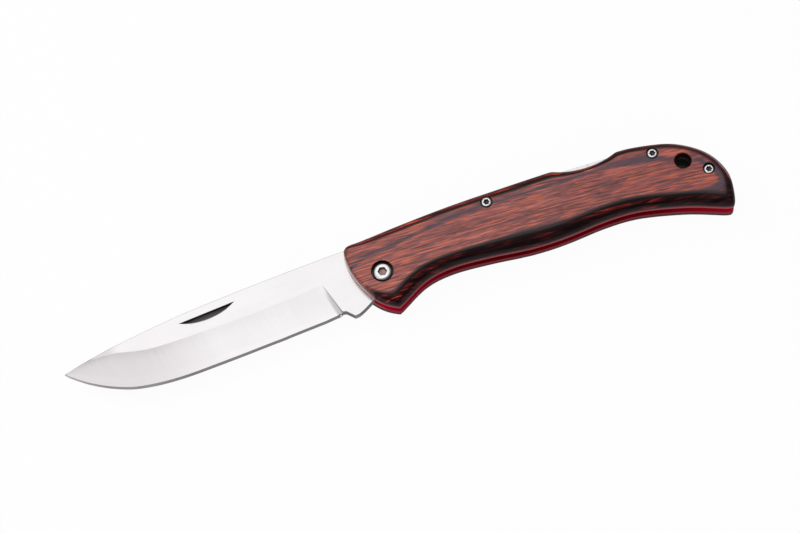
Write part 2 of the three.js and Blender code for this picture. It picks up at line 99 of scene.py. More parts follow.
# The dark vein that sweeps along the front face, as [x, y, half width], and its place on the rear face
VEIN = [
    [-9.6, 3.9, 0.5], [-6.9, 5.3, 0.6], [-2.5, 6.6, 0.7], [5.5, 6.7, 0.7], [9.7, 7.4, 0.7],
    [17, 8.0, 0.6], [26, 9.2, 0.7], [33, 9.0, 0.8], [41.5, 8.6, 0.7], [53, 7.9, 0.6],
    [62, 7.6, 0.7], [71, 7.1, 0.6], [79, 6.8, 0.8], [85.4, 5.8, 1.4], [90, 5.2, 1.5],
    [96.4, 2.6, 0.9], [105.4, -1.1, 0.8], [108.5, -4.3, 1.3], [110.9, -7.5, 1.8],
    [111.3, -10.5, 2.0], [108.7, -12.3, 1.5], [103, -12.3, 0.8],
]
REAR_VEIN_SHIFT = [-6.0, -1.6, 0]

# Grain of the wood: how fast it bends, in 1/mm, and its slope where the frame's X is 0
GRAIN_BEND = 0.00035
GRAIN_LEAN = 0.06

# Broken edges of the other plates
LINER_BREAK = 0.12
BAR_BREAK = 0.05
SPACER_BREAK = 0.1
SPRING_BREAK = 0.08

# Fasteners
HEAD_BREAK = 0.05
SLEEVE_BREAK = 0.1
BORE_FLOOR = 2.2
SMALL_HEAD_HEIGHT = 1.1
SMALL_RIM_HEIGHT = 0.8
PIVOT_HEAD_HEIGHT = 1.8
PIVOT_RIM_HEIGHT = 1.2
DOME_POWER = 2.0
PIVOT_FLAT = 1.85
SMALL_FLAT = 1.15
RECESS_GAP = 0.33
PIVOT_RECESS_GAP = 0.52
BARREL_GAP = 0.08
BARREL_SEAT_GAP = 0.1
SMALL_SHANK = 0.75
PIVOT_SHANK = 1.4
HEX_ACROSS_FLATS = 2.66
HEX_DEPTH = 1.3
# Share of the socket's painted shade and roughness that reaches the floor of the hexagon socket
HEX_FLOOR_SHADE = 0.75
LOBE_RADIUS = 1.02
LOBE_DEPTH = 0.1
LOBE_SOCKET_DEPTH = 0.8
# Share of the socket's painted shade and roughness that reaches the floor of the six-lobe socket
LOBE_FLOOR_SHADE = 0.94
LANYARD_RADIUS = 2.55

# Blade
BEVEL_WIDTH = 0.82
TIP_BEVEL_WIDTH = 0.45
BEVEL_HALF = 0.3
EDGE_HALF = 0.07
PLUNGE_WIDTH = 2.3
PLUNGE_STEP = 0.35
PLUNGE_ROWS = (0.12, 0.3, 0.6, 0.9, 1.2, 1.6, 2.0, 2.4)
RIDGE_ROW = 0.35
TIP_THINNING = 0.5
THINNING_FROM = -80
TIP_STRETCH = 24
EDGE_SOFTENING = 9
EDGE_FULLNESS = 0.24
TIP_LENGTHENING = 0.55
TIP_REACH = 12
LEAST_BREAK = 0.01
MOST_BREAK = 0.13
RIDGE = [
    [-5, 5.4], [-18.8, 4.8], [-30, 4.1], [-45, 3.75], [-62, 4.1], [-74, 4.5], [-79, 5.2],
    [-84.5, 6.6], [-89, 7.5], [-94, 7.95], [-99, 8.1], [-104.5, 8.2],
]
RIDGE_HOLLOW = [[-104.5, 1.8], [-90, 2.1], [-80, 2.15], [-68, 1.8], [-45, 1.4], [-15, 1.25]]
PLUNGE_FOOT = [-15.7, -6.6]
HEEL = [-16.7, -7.2]
TIP = [-103.8, 6.4]
NICK_ENDS = [[-65.2, 8.95], [-46.4, 9.65]]
NICK_SAG = 2.4
NICK_DEPTH = 0.6
NICK_WALL = 0.05


# Reading the CAD nodes

def millimetres(node):
    """Corners of a CAD node's triangles, as triangle, corner, xyz."""
    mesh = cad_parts[node].data
    mesh.calc_loop_triangles()
    places = np.empty(len(mesh.vertices) * 3)
    mesh.vertices.foreach_get("co", places)
    picks = np.empty(len(mesh.loop_triangles) * 3, int)
    mesh.loop_triangles.foreach_get("vertices", picks)
    return places.reshape(-1, 3)[picks].reshape(-1, 3, 3) / MM - PIVOT


def outlines(node):
    """Closed loops of [x, y] where a node crosses its middle level, the longest first. A triangle that
    crosses it is cut on the two edges of the corner that is alone on its side."""
    corners = millimetres(node)
    level = (corners[..., 2].min() + corners[..., 2].max()) / 2 + 1e-4
    above = corners[..., 2] > level
    crossing = above.any(1) & ~above.all(1)
    corners, above = corners[crossing], above[crossing]
    lone_up = above.sum(1) == 1
    lone = np.where(lone_up, above.argmax(1), above.argmin(1))
    rows = np.arange(len(corners))
    a, b, c = (corners[rows, (lone + k) % 3] for k in range(3))
    cuts = [a + (end - a) * ((level - a[:, 2]) / (end[:, 2] - a[:, 2]))[:, None] for end in (b, c)]
    start, end = (np.round(np.where(lone_up[:, None], *pair), 3)[:, :2] for pair in (cuts, cuts[::-1]))
    follows = {tuple(p): tuple(q) for p, q in zip(start.tolist(), end.tolist()) if p != q}
    loops = []
    while follows:
        here = next(iter(follows))
        chain = []
        while here in follows:
            chain.append(here)
            here = follows.pop(here)
        loops.append(cornered(np.array(chain)))
    return sorted(loops, key=lambda loop: -perimeter(loop))


def cornered(loop):
    """A closed loop without the points at which it goes straight on."""
    along = unit(following(loop) - loop)
    back = np.roll(along, 1, axis=0)
    return loop[np.abs(back[:, 0] * along[:, 1] - back[:, 1] * along[:, 0]) > 0.004]


def levels(node):
    """Lowest and highest Z of a node."""
    low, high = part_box(node)
    return low.z / MM, high.z / MM


def centre_of(node):
    """Middle of a node's box, as [x, y]."""
    low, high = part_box(node)
    return ((np.array(low) + np.array(high)) / 2 / MM - PIVOT)[:2]


def radius_of(node):
    """Half of a round node's width."""
    low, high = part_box(node)
    return (high.x - low.x) / 2 / MM


# Curves

def lengths(vectors):
    """Length of each vector, the root of the sum of its squares."""
    return np.linalg.norm(vectors, axis=-1)


def following(loop):
    """The next point round the loop, for each of its points."""
    return np.roll(loop, -1, axis=0)


def unit(vectors):
    """Each vector over its length."""
    return vectors / lengths(vectors)[:, None]


def steps_along(length, step):
    """Stretches cut into steps of about step: each point's stretch, and its share of the way."""
    counts = np.maximum(np.ceil(length / step).astype(int), 1)
    piece = np.repeat(np.arange(len(length)), counts)
    first = np.repeat(np.cumsum(counts) - counts, counts)
    return piece, ((np.arange(len(piece)) - first) / counts[piece])[:, None]


def hann_mean(row, reach):
    """Means of a row of values under a Hann window with so many values on each side."""
    window = np.hanning(2 * reach + 1)
    return np.convolve(row, window / window.sum(), mode="valid")


def in_parts(points):
    """Points in parts of at most 800, whose tables against a line stay small."""
    return np.array_split(points, len(points) // 800 + 1)


def perimeter(loop):
    """Sum of the lengths of a loop's sides."""
    return lengths(following(loop) - loop).sum()


def refined(loop):
    """A closed loop made smooth by cubic Hermite pieces, with one tangent at each point except where
    the loop turns by more than CORNER degrees."""
    ahead = following(loop) - loop
    length = lengths(ahead)
    along = ahead / length[:, None]
    back = np.roll(along, 1, axis=0)
    tangent = unit(along * np.roll(length, 1)[:, None] + back * length[:, None])
    sharp = ((along * back).sum(1) < math.cos(math.radians(CORNER)))[:, None]
    leaving = np.where(sharp, along, tangent)
    arriving = np.roll(np.where(sharp, back, tangent), -1, axis=0)
    piece, t = steps_along(length, OUTLINE_STEP)
    reach = length[piece, None]
    return (
        loop[piece] * (2 * t**3 - 3 * t**2 + 1)
        + following(loop)[piece] * (3 * t**2 - 2 * t**3)
        + leaving[piece] * reach * (t**3 - 2 * t**2 + t)
        + arriving[piece] * reach * (t**3 - t**2)
    )


def smooth_line(points, step):
    """A Catmull-Rom curve through points, sampled every step or so."""
    knots = np.array(points, float)
    padded = np.vstack([2 * knots[0] - knots[1], knots, 2 * knots[-1] - knots[-2]])
    piece, t = steps_along(lengths(np.diff(knots, axis=0)), step)
    a, b, c, d = (padded[piece + k] for k in range(4))
    curve = 2 * b + (c - a) * t + (2 * a - 5 * b + 4 * c - d) * t**2 + (3 * b - a - 3 * c + d) * t**3
    return np.vstack([0.5 * curve, knots[-1]])


def circle(place, radius, count=HOLE_POINTS):
    """A round loop, counter-clockwise. radius is one number or one per point."""
    turn = np.arange(count) / count * 2 * math.pi
    return np.array(place) + np.c_[np.cos(turn), np.sin(turn)] * np.reshape(radius, (-1, 1))


def inward(loop):
    """Unit normals that point into a counter-clockwise loop."""
    along = unit(following(loop) - np.roll(loop, 1, axis=0))
    return np.c_[-along[:, 1], along[:, 0]]


def distances(points, line, closed=True):
    """Distance from each point to a line, and the number of its nearest segment."""
    starts = line if closed else line[:-1]
    ahead = (following(line) - line)[: len(starts)]
    size = (ahead**2).sum(1)
    reach, nearest = [], []
    for part in in_parts(points):
        gap = part[:, None] - starts
        t = np.clip((gap * ahead).sum(2) / size, 0, 1)[..., None]
        apart = lengths(gap - t * ahead)
        reach.append(apart.min(1))
        nearest.append(apart.argmin(1))
    return np.concatenate(reach), np.concatenate(nearest)


def felt_distances(points, loop, values):
    """Distance to the whole of a loop, (2 I / pi)^(-1/3), where I sums length / apart^4 along it: the
    plain distance beside a straight stretch and less in a corner, which rounds the lines of equal
    distance. Near the loop it gives way to the plain distance. The values at the loop's points, a
    column each, are averaged with the same weights."""
    plain_reach, _ = distances(points, loop)
    ends = following(loop)
    middles = (loop + ends) / 2
    pieces = lengths(ends - loop)
    sums, told = [], []
    for part in in_parts(points):
        apart = lengths(part[:, None] - middles)
        weights = pieces / np.maximum(apart, 0.05) ** 4
        sums.append(weights.sum(1))
        told.append(weights @ values / weights.sum(1)[:, None])
    felt = (np.concatenate(sums) * 2 / math.pi) ** (-1 / 3)
    share = np.clip((plain_reach - 0.4) / 1.0, 0, 1)
    return plain_reach * (1 - share) + felt * share, np.concatenate(told)


def inset(loop, amount):
    """The loop moved inwards by amount, one number or one per point. Points that would cross over at a
    corner are drawn in between their sound neighbours."""
    amount = np.broadcast_to(amount, len(loop))
    moved = loop + inward(loop) * amount[:, None]
    sound = distances(moved, loop)[0] > amount - 0.02
    spots = np.arange(len(loop))
    drawn = [np.interp(spots, spots[sound], moved[sound, axis], period=len(loop)) for axis in (0, 1)]
    return np.where(sound[:, None], moved, np.stack(drawn, axis=1))


def inside(points, loop):
    """Whether a ray to the right of each point crosses the loop an odd number of times."""
    ends = following(loop)
    height = points[:, 1:2]
    spans = (loop[:, 1] > height) != (ends[:, 1] > height)
    rise = np.where(ends[:, 1] == loop[:, 1], 1, ends[:, 1] - loop[:, 1])
    cross = loop[:, 0] + (height - loop[:, 1]) * (ends[:, 0] - loop[:, 0]) / rise
    return (spans & (cross > points[:, :1])).sum(1) % 2 == 1


def grid_inside(loop, spacing, margin, holes=()):
    """Points of a square grid inside a loop, at least margin from it and from the holes."""
    low, high = loop.min(0), loop.max(0)
    x, y = np.meshgrid(np.arange(low[0], high[0], spacing), np.arange(low[1], high[1], spacing))
    points = np.c_[x.ravel(), y.ravel()]
    points = points[inside(points, loop)]
    points = points[distances(points, loop)[0] > margin]
    return clear_of(points, holes, margin)


def clear_of(points, holes, margin):
    """The points outside every hole and at least margin from its rim."""
    for hole in holes:
        points = points[~inside(points, hole)]
        points = points[distances(points, hole)[0] > margin]
    return points


# Meshes

def put_mesh(name, places, faces, attributes=(), sharp=32.0, mirrored=False):
    """A mesh from knife millimetres, turned over about the middle of the stack if mirrored."""
    places = np.array(places, float)
    if mirrored:
        places[:, 2] = STACK_HEIGHT - places[:, 2]
        faces = [face[::-1] for face in faces]
    mesh = bpy.data.meshes.new(name)
    mesh.from_pydata(((places + PIVOT) * MM).tolist(), [], faces)
    for label, values in attributes:
        mesh.attributes.new(label, "FLOAT", "POINT").data.foreach_set("value", values)
    mesh.shade_smooth()
    mesh.set_sharp_from_angle(angle=math.radians(sharp))
    return shown(name, mesh)


def shown(name, data):
    """A new object of the scene for a mesh, a lamp or a camera."""
    piece = bpy.data.objects.new(name, data)
    bpy.context.scene.collection.objects.link(piece)
    return piece


def band(low, high, count):
    """Quads between two rings of count points that start at numbers low and high."""
    here = np.arange(count)
    after = np.roll(here, -1)
    return np.c_[low + here, low + after, high + after, high + here].tolist()


def fill(rings, lines, extra):
    """Delaunay triangles inside the first ring and outside the others, as point numbers. Lines, each
    with whether it closes, stay edges, and extra are loose points."""
    chains = [(ring, True) for ring in rings] + list(lines)
    edges = []
    start = 0
    for chain, closed in chains:
        numbers = start + np.arange(len(chain))
        pairs = np.c_[numbers, np.roll(numbers, -1)]
        edges.append(pairs if closed else pairs[:-1])
        start += len(chain)
    points = np.vstack([chain for chain, _ in chains] + [extra])[:, :2]
    _, _, triangles, origin, _, _ = delaunay_2d_cdt(
        [Vector(p) for p in points], np.vstack(edges).tolist(), [], 0, 1e-6
    )
    known = np.array([numbers[0] if numbers else -1 for numbers in origin])
    triangles = known[np.array(triangles)]
    triangles = triangles[(triangles >= 0).all(1)]
    middles = points[triangles].mean(1)
    kept = inside(middles, rings[0][:, :2])
    for ring in rings[1:]:
        kept &= ~inside(middles, ring[:, :2])
    return triangles[kept]


NO_POINTS = np.empty((0, 3))


def plate(rings, wells, top=((), NO_POINTS), bottom=((), NO_POINTS)):
    """A closed plate. rings are loops up its outer wall, and wells such lists up the wall of each hole.
    top and bottom hold the lines and the loose points that shape the faces."""
    parts, faces, ends = [], [], []
    total = 0
    for loops, turned_in in [(rings, False)] + [(well, True) for well in wells]:
        starts = total + np.arange(len(loops)) * len(loops[0])
        parts += loops
        total += len(loops) * len(loops[0])
        for low, high in zip(starts, starts[1:]):
            quads = band(low, high, len(loops[0]))
            faces += [quad[::-1] for quad in quads] if turned_in else quads
        ends.append((starts, loops))
    for end, (lines, extra), turned_over in [(-1, top, False), (0, bottom, True)]:
        numbers = [starts[end] + np.arange(len(loops[end])) for starts, loops in ends]
        for loose in [line for line, _ in lines] + [extra]:
            numbers.append(total + np.arange(len(loose)))
            parts.append(loose)
            total += len(loose)
        found = np.concatenate(numbers)[fill([loops[end] for _, loops in ends], lines, extra)]
        faces += (found[:, ::-1] if turned_over else found).tolist()
    return np.vstack(parts), faces


def lift(loop, z):
    """A flat loop lifted to z, one number or one per point."""
    return np.column_stack([loop, np.broadcast_to(z, len(loop))])


def turned(place, stations):
    """A turned piece from stations up its axis: radius, z and, where it isn't round, the shape that
    scales the radius as a function of the angle. Both ends are closed flat."""
    count = HEAD_POINTS
    angle = np.arange(count) / count * 2 * math.pi
    loops = []
    for radius, z, *shape in stations:
        loops.append(lift(circle(place, radius * (shape[0](angle) if shape else 1), count), z))
    faces = [quad for k in range(len(loops) - 1) for quad in band(k * count, (k + 1) * count, count)]
    last = (len(loops) - 1) * count
    return np.vstack(loops), faces + [list(range(count))[::-1], list(range(last, last + count))]


STACK_HEIGHT = levels("scale_front")[1]
SMALL_PINS = ["lock", "mid", "butt"]


# Handle slabs

def slab(name, mirrored, vein_shift):
    """A wood slab, worked out as the front one. With d the distance from the outline, its edge is a
    quarter ellipse of the local width, z = face - rise (1 - sqrt(1 - (1 - d / width)^2)), and its face
    swells by crown (1 - d / reach)^2. The veneer attribute is the share of the ellipse's angle, goes on
    past 1 over the face and is negative on the upright wall. The vein attribute is the distance from
    the vein's side. The narrow attribute is 1 where the edge is too steep to show the veneers one by
    one, and the hole attribute is 1 in the holes."""
    loop = refined(outlines("liner_front")[0])
    low, high = levels("scale_front")
    widths = edge_widths(loop)
    bellyward = np.clip(-inward(loop)[:, 1] * 2 - 0.6, 0, 1)
    fade = softened(FADE_SPINE - (FADE_SPINE - FADE_BELLY) * bellyward)
    bare = np.clip((BARE_WIDTH - widths) / 0.4, 0, 1)
    stretches = fade + (FADE_BARE - fade) * bare
    told = np.c_[widths, stretches, bare]

    def face_shape(points):
        """Height of the face, veneer and narrow at points, by the slab's formulas."""
        reach, carried = felt_distances(points, loop, told)
        width, stretch, narrow = carried.T
        t = np.clip(1 - reach / width, 0, 1)
        swell = np.clip(1 - reach / (width + CROWN_REACH), 0, 1) ** 2
        height = high - ROUND_RISE * (1 - np.sqrt(1 - t**2)) - CROWN * swell
        rounded = np.arccos(t) / (math.pi / 2)
        return height, np.where(reach < width, rounded, 1 + (reach - width) / stretch), narrow

    def lifted(points):
        """Points put on the outer face."""
        return lift(points, face_shape(points)[0])

    wells = slab_wells(low, mirrored, lifted)
    rims = [well[-1][:, :2] for well in wells]
    turns = np.radians(np.arange(0, 90.1, TURN_STEP))
    edge_turns = turns[turns < math.radians(LAST_RING_TURN)]
    rings = [lift(inset(loop, SLAB_EDGE), low), lift(loop, low + SLAB_EDGE)]
    rings += [lifted(inset(loop, widths * (1 - math.cos(turn)) + 1e-3)) for turn in edge_turns]
    shoulders = [inset(loop, widths * (1 - math.cos(turn))) for turn in turns[len(edge_turns):]]
    loose = [clear_of(line[::2] if k % 2 else line[1::2], rims, 0.15) for k, line in enumerate(shoulders)]
    loose.append(grid_inside(inset(loop, widths), 0.8, 0.5, rims))
    places, faces = plate(rings, wells, top=((), lifted(np.vstack(loose))))
    _, depth, narrow = face_shape(places[:, :2])
    over_wall = places[:, 2] - rings[2][:, 2].min()
    depth = np.where((over_wall < 0.02) & (depth < 0.2), over_wall / WALL_STEP, depth)
    # The hole attribute carries painted shade down the walls of the holes, fading out at the rim
    shares = np.concatenate([np.r_[np.ones(len(well) - 3), 0.7, 0.3, 0] for well in wells])
    hole = np.zeros(len(places))
    hole[len(rings) * len(loop) :][: len(shares) * HOLE_POINTS] = np.repeat(shares, HOLE_POINTS)
    vein = smooth_line(np.array(VEIN) + vein_shift, 0.7)
    apart, nearest = distances(places[:, :2], vein[:, :2], closed=False)
    apart -= vein[nearest, 2]
    marks = [("veneer", depth), ("vein", apart), ("narrow", narrow), ("hole", hole)]
    return put_mesh(name, places, faces, marks, mirrored=mirrored)


def edge_widths(loop):
    """Width of the rounded edge round the outline: each listed width holds at the outline's nearest
    point and goes over to the next along its length."""
    marks = np.array(ROUND_WIDTHS)
    along = np.concatenate([[0], np.cumsum(lengths(np.diff(loop, axis=0)))])
    spots = along[distances(marks[:, :2], loop)[1]]
    order = np.argsort(spots)
    return softened(np.interp(along, spots[order], marks[order, 2], period=perimeter(loop)))


def softened(values):
    """Values round a loop, each replaced by the mean of its neighbours."""
    return hann_mean(np.concatenate([values[-SOFTENING:], values, values[:SOFTENING]]), SOFTENING)


def slab_wells(low, mirrored, lifted):
    """The stepped holes of a slab, each as loops from its inner face to its outer face."""
    side, pivot_head = ("back", "pivot_barrel") if mirrored else ("front", "pivot_screw")

    def outer(node):
        """How far out a node reaches, measured as on the front side."""
        return STACK_HEIGHT - levels(node)[0] if mirrored else levels(node)[1]

    recess = radius_of("pivot_screw") + PIVOT_RECESS_GAP
    bore = barrel_radius() + BARREL_GAP
    seat = outer(pivot_head) - PIVOT_HEAD_HEIGHT
    wells = [well([0, 0], [(bore, low), (bore, seat), (recess, seat)], lifted, recess)]
    for pin in SMALL_PINS:
        place = centre_of(f"{pin}_barrel")
        barrel = radius_of(f"{pin}_barrel") + BARREL_GAP
        barrel_top = levels(f"{pin}_barrel")[1] + BARREL_SEAT_GAP
        seat = outer(f"{pin}_screw_{side}") - SMALL_HEAD_HEIGHT
        recess = radius_of(f"{pin}_screw_{side}") + RECESS_GAP
        shank = SMALL_SHANK + BARREL_SEAT_GAP
        steps = [(barrel, low), (barrel, barrel_top), (shank, barrel_top), (shank, seat), (recess, seat)]
        wells.append(well(place, steps, lifted, recess))
    lanyard = well(lanyard_place(), [(LANYARD_RADIUS, low)], lifted, LANYARD_RADIUS, LANYARD_ROUND)
    return wells + [lanyard]


def well(place, steps, lifted, radius, round_rim=RIM_ROUND):
    """Loops up a stepped hole whose rounded rim follows the face it comes out of."""
    loops = [lift(circle(place, r), z) for r, z in steps]
    rim = lifted(circle(place, radius + round_rim))
    for turn in np.radians([0, 22, 45, 67, 90]):
        loop = circle(place, radius + round_rim * (1 - math.cos(turn)))
        loops.append(lift(loop, rim[:, 2] - round_rim * (1 - math.sin(turn))))
    return loops


def barrel_radius():
    """Radius of the pivot barrel's tube, from its highest ring."""
    corners = millimetres("pivot_barrel").reshape(-1, 3)
    top = corners[corners[:, 2] > corners[:, 2].max() - 0.01]
    return lengths(top[:, :2]).max()


def lanyard_place():
    """Centre of the lanyard hole, the widest hole of the front liner after the pivot's."""
    holes = [loop for loop in outlines("liner_front")[1:] if np.linalg.norm(loop.mean(0)) > LANYARD_RADIUS]
    return max(holes, key=perimeter).mean(0)


# Plates of the stack

def sheet_metal(name, node, edge):
    """A plate with the outline, levels and round holes of a CAD node, its edges broken by edge. The
    bore attribute marks the walls of the holes, and the rim attribute the outer wall."""
    outline, *holes = outlines(node)
    low, high = levels(node)
    loop = refined(outline)
    inner = inset(loop, edge + 0.04)
    rings = [lift(inner, low), lift(inset(loop, edge), low), lift(loop, low + edge)]
    rings += [lift(loop, high - edge), lift(inset(loop, edge), high), lift(inner, high)]
    wells = []
    for hole in holes:
        place = (hole.min(0) + hole.max(0)) / 2
        reach = lengths(hole - place)
        radius = reach.max()
        if reach.min() < 0.9 * radius:
            continue
        steps = [(radius + edge, low), (radius, low + edge), (radius, high - edge), (radius + edge, high)]
        wells.append([lift(circle(place, r), z) for r, z in steps])
    places, faces = plate(rings, wells)
    # The bore attribute carries painted shade, and the rim attribute the liners' painted highlights
    bore = np.zeros(len(places))
    bore[len(loop) * len(rings) :] = 1
    rim = np.zeros(len(places))
    rim[len(loop) : len(loop) * (len(rings) - 1)] = 1
    return put_mesh(name, places, faces, [("bore", bore), ("rim", rim)])


# Blade

def blade(name):
    """The blade as two height fields over one outline. Half the thickness is flat above the ridge and
    thinner by s^2 towards the tip. Below the ridge, with v from 0 there to 1 at the edge bevel, it is
    bevel + (flat - bevel)(1 - v)^hollow. Past the plunge line that drop comes in by a small step and
    then by 1 - (1 - t)^2, and the bevel goes straight down to the edge."""
    outline, count = from_the_tip(refined(outlines("blade")[0]))
    low, high = levels("blade")
    middle = (low + high) / 2
    flat = (high - low) / 2
    ridge = smooth_line(RIDGE, 0.5)
    edge = outline[:count][::-1]
    plunge = np.linspace(PLUNGE_FOOT, RIDGE[1], 60)
    bevel_line = edge + edge_normal(edge) * bevel_width(edge[:, 0])[:, None]
    hollow = smooth_line(RIDGE_HOLLOW, 5)

    def half(points):
        """Half the thickness at points, by the blade's formulas."""
        below = leftward(points, ridge)
        past = leftward(points, plunge[[0, -1]])
        to_edge = distances(points, edge, closed=False)[0]
        width = bevel_width(points[:, 0])
        to_bevel = np.maximum(to_edge - width, 0)
        v = np.clip(below / np.maximum(below + to_bevel, 1e-6), 0, 1)
        power = np.interp(points[:, 0], hollow[:, 0], hollow[:, 1])
        to_tip = np.clip((THINNING_FROM - points[:, 0]) / TIP_STRETCH, 0, 1)
        thinned = flat * (1 - TIP_THINNING * to_tip**2)
        ground = BEVEL_HALF + (thinned - BEVEL_HALF) * (1 - v) ** power
        t = np.clip(past / PLUNGE_WIDTH, 0, 1)
        fade = PLUNGE_STEP * np.clip(past / 0.12, 0, 1) + (1 - PLUNGE_STEP) * (1 - (1 - t) ** 2)
        body = thinned + (ground - thinned) * np.where(below > 0, fade, 0)
        bevel = EDGE_HALF + (BEVEL_HALF - EDGE_HALF) * to_edge / width
        sharpened = np.clip((past - 0.3) / 0.25, 0, 1)
        cut = np.where(to_edge < width, bevel + (flat - bevel) * (1 - sharpened), flat)
        return np.minimum(body, cut)

    def upper(points):
        """Points put on the front side, with the nick cut out of it."""
        return lift(points, middle + half(points) - nick_cut(points))

    def lower(points):
        """Points put on the rear side."""
        return lift(points, middle - half(points))

    thickness = half(outline)
    broken = LEAST_BREAK + (MOST_BREAK - LEAST_BREAK) * np.clip((thickness - BEVEL_HALF) / 0.6, 0, 1)
    shrunk = outline + inward(outline) * broken[:, None]
    rings = [
        lower(shrunk),
        lift(outline, middle - thickness + broken),
        lift(outline, middle + thickness - broken),
        upper(shrunk),
    ]
    hole = circle([0, 0], barrel_radius() + BARREL_GAP)
    wells = [[lift(hole, low), lift(hole, high)]]
    creases = [within(line, shrunk) for line in (bevel_line, plunge)]
    lines = [ridge, ridge + [0, RIDGE_ROW], ridge - [0, RIDGE_ROW], bevel_line + edge_normal(edge) * 0.12]
    lines += [plunge - [shift, 0] for shift in PLUNGE_ROWS]
    points = np.vstack(lines + [grid_inside(outline, 0.75, 0.45, [hole])])
    points = points[inside(points, shrunk)]
    points = clear_of(points[distances(points, shrunk)[0] > 0.06], [hole], 0.3)
    for crease in creases:
        points = points[distances(points, crease, closed=False)[0] > 0.06]
    rim, rows = nick_points()
    clear = points[~inside(points, rim) & (distances(points, rim)[0] > 0.12)]
    top = [(upper(line), False) for line in creases] + [(upper(rim), True)], upper(np.vstack([clear, rows]))
    bottom = [(lower(line), False) for line in creases], lower(points)
    places, faces = plate(rings, wells, top, bottom)
    ground = np.clip((flat - half(places[:, :2])) / (flat - EDGE_HALF), 0, 1)
    cut = np.where(places[:, 2] > middle, nick_cut(places[:, :2]) / NICK_DEPTH, 0)
    piece = put_mesh(name, places, faces, [("ground", ground), ("nick", cut)], sharp=24)
    for crease in creases:
        crease_along(piece.data, crease)
    return piece


def crease_along(mesh, line):
    """Marks as sharp the edges of a mesh that lie on a line."""
    spots = np.empty(len(mesh.vertices) * 3)
    mesh.vertices.foreach_get("co", spots)
    flat = spots.reshape(-1, 3)[:, :2] / MM - PIVOT[:2]
    on_line = distances(flat, line, closed=False)[0] < 2e-3
    ends = np.empty(len(mesh.edges) * 2, int)
    mesh.edges.foreach_get("vertices", ends)
    sharp = np.empty(len(mesh.edges), bool)
    mesh.edges.foreach_get("use_edge_sharp", sharp)
    mesh.edges.foreach_set("use_edge_sharp", sharp | on_line[ends.reshape(-1, 2)].all(1))


def within(line, loop):
    """The stretch of an open line inside a loop and clear of it."""
    sound = inside(line, loop) & (distances(line, loop)[0] > 0.05)
    first, last = np.flatnonzero(sound)[[0, -1]]
    return line[first : last + 1]


def from_the_tip(outline):
    """The outline turned round to start at the tip, and how many of its points are the cutting edge,
    down to the heel. Each of these becomes the mean of its neighbours and moves out by
    fullness s^2 (3 - 2 s), fading in from the tip and out to the heel. The tip is drawn out in X by
    the square of how near it is."""
    heel, tip = distances(np.array([HEEL, TIP]), outline)[1]
    outline = np.roll(outline, -tip, axis=0)
    count = (heel - tip) % len(outline) + 1
    edge = outline[:count]
    before = 2 * edge[0] - edge[EDGE_SOFTENING:0:-1]
    after = 2 * edge[-1] - edge[-2 : -EDGE_SOFTENING - 2 : -1]
    padded = np.vstack([before, edge, after])
    for axis in (0, 1):
        outline[:count, axis] = hann_mean(padded[:, axis], EDGE_SOFTENING)
    edge = outline[:count]
    s = np.clip(np.minimum((edge[:, 0] - TIP[0] - 14) / 16, (HEEL[0] - edge[:, 0]) / 6), 0, 1)
    edge -= edge_normal(edge[::-1])[::-1] * (EDGE_FULLNESS * s**2 * (3 - 2 * s))[:, None]
    outline[:, 0] -= TIP_LENGTHENING * np.clip((TIP[0] + TIP_REACH - outline[:, 0]) / TIP_REACH, 0, 1) ** 2
    return outline, count


def edge_normal(edge):
    """Unit normals of the cutting edge, up into the blade."""
    along = unit(np.gradient(edge, axis=0))
    return np.c_[along[:, 1], -along[:, 0]]


def bevel_width(x):
    """Width of the edge bevel, less towards the tip."""
    share = np.clip((x - TIP[0]) / TIP_STRETCH, 0, 1)
    return TIP_BEVEL_WIDTH + (BEVEL_WIDTH - TIP_BEVEL_WIDTH) * share


def leftward(points, line):
    """Distance from an open line, positive on its left."""
    reach, nearest = distances(points, line, closed=False)
    ahead = (line[1:] - line[:-1])[nearest]
    gap = points - line[nearest]
    return reach * np.sign(ahead[:, 0] * gap[:, 1] - ahead[:, 1] * gap[:, 0])


def nick_sides():
    """Start of the nick's straight upper side, the way along it, the way down from it, its length."""
    start, end = np.array(NICK_ENDS)
    chord = end - start
    return start, chord, np.array([chord[1], -chord[0]]), np.linalg.norm(chord)


def nick_sag(along, span):
    """How far the nick reaches down from its straight side, to a circle through that side's ends."""
    radius = (span**2 / 4 + NICK_SAG**2) / (2 * NICK_SAG)
    return np.sqrt(np.maximum(radius**2 - (along - span / 2) ** 2, 0)) - radius + NICK_SAG


def nick_cut(points):
    """Depth of the nail nick: a steep wall under its straight side, then a slope up to the circle."""
    start, chord, across, span = nick_sides()
    under = (points - start) @ across / span
    sag = nick_sag((points - start) @ chord / span, span)
    t = under / np.maximum(sag, 1e-6)
    depth = NICK_DEPTH * np.clip(under / NICK_WALL, 0, 1) * (1 - t) * np.clip(sag / 0.5, 0, 1)
    return np.where((sag > 0) & (t > 0) & (t < 1), depth, 0)


def nick_points():
    """Rim of the nick and the points inside it, in rows under its straight side."""
    start, chord, across, span = nick_sides()
    across = across / span
    s = np.linspace(0, span, 60)[:, None]
    sag = nick_sag(s, span)
    straight = start + chord * s / span
    rim = np.vstack([straight[::-1], (straight + across * sag)[1:-1]])
    down = [across * NICK_WALL] + [across * sag * share for share in (0.2, 0.4, 0.6, 0.8)]
    rows = np.vstack([straight + step for step in down])
    return rim, rows[inside(rows, rim) & (distances(rows, rim)[0] > 0.035)]


# Fasteners

def hexagon(angle):
    """Six flats: cos 30 / cos of the angle from the middle of the flat."""
    step = math.pi / 3
    return math.cos(step / 2) / np.cos((angle + 0.25) % step - step / 2)


def six_lobes(angle):
    """Six rounded lobes: 1 - depth (1 - cos 6a)."""
    return 1 - LOBE_DEPTH / LOBE_RADIUS * (1 - np.cos(6 * angle + 1.2))


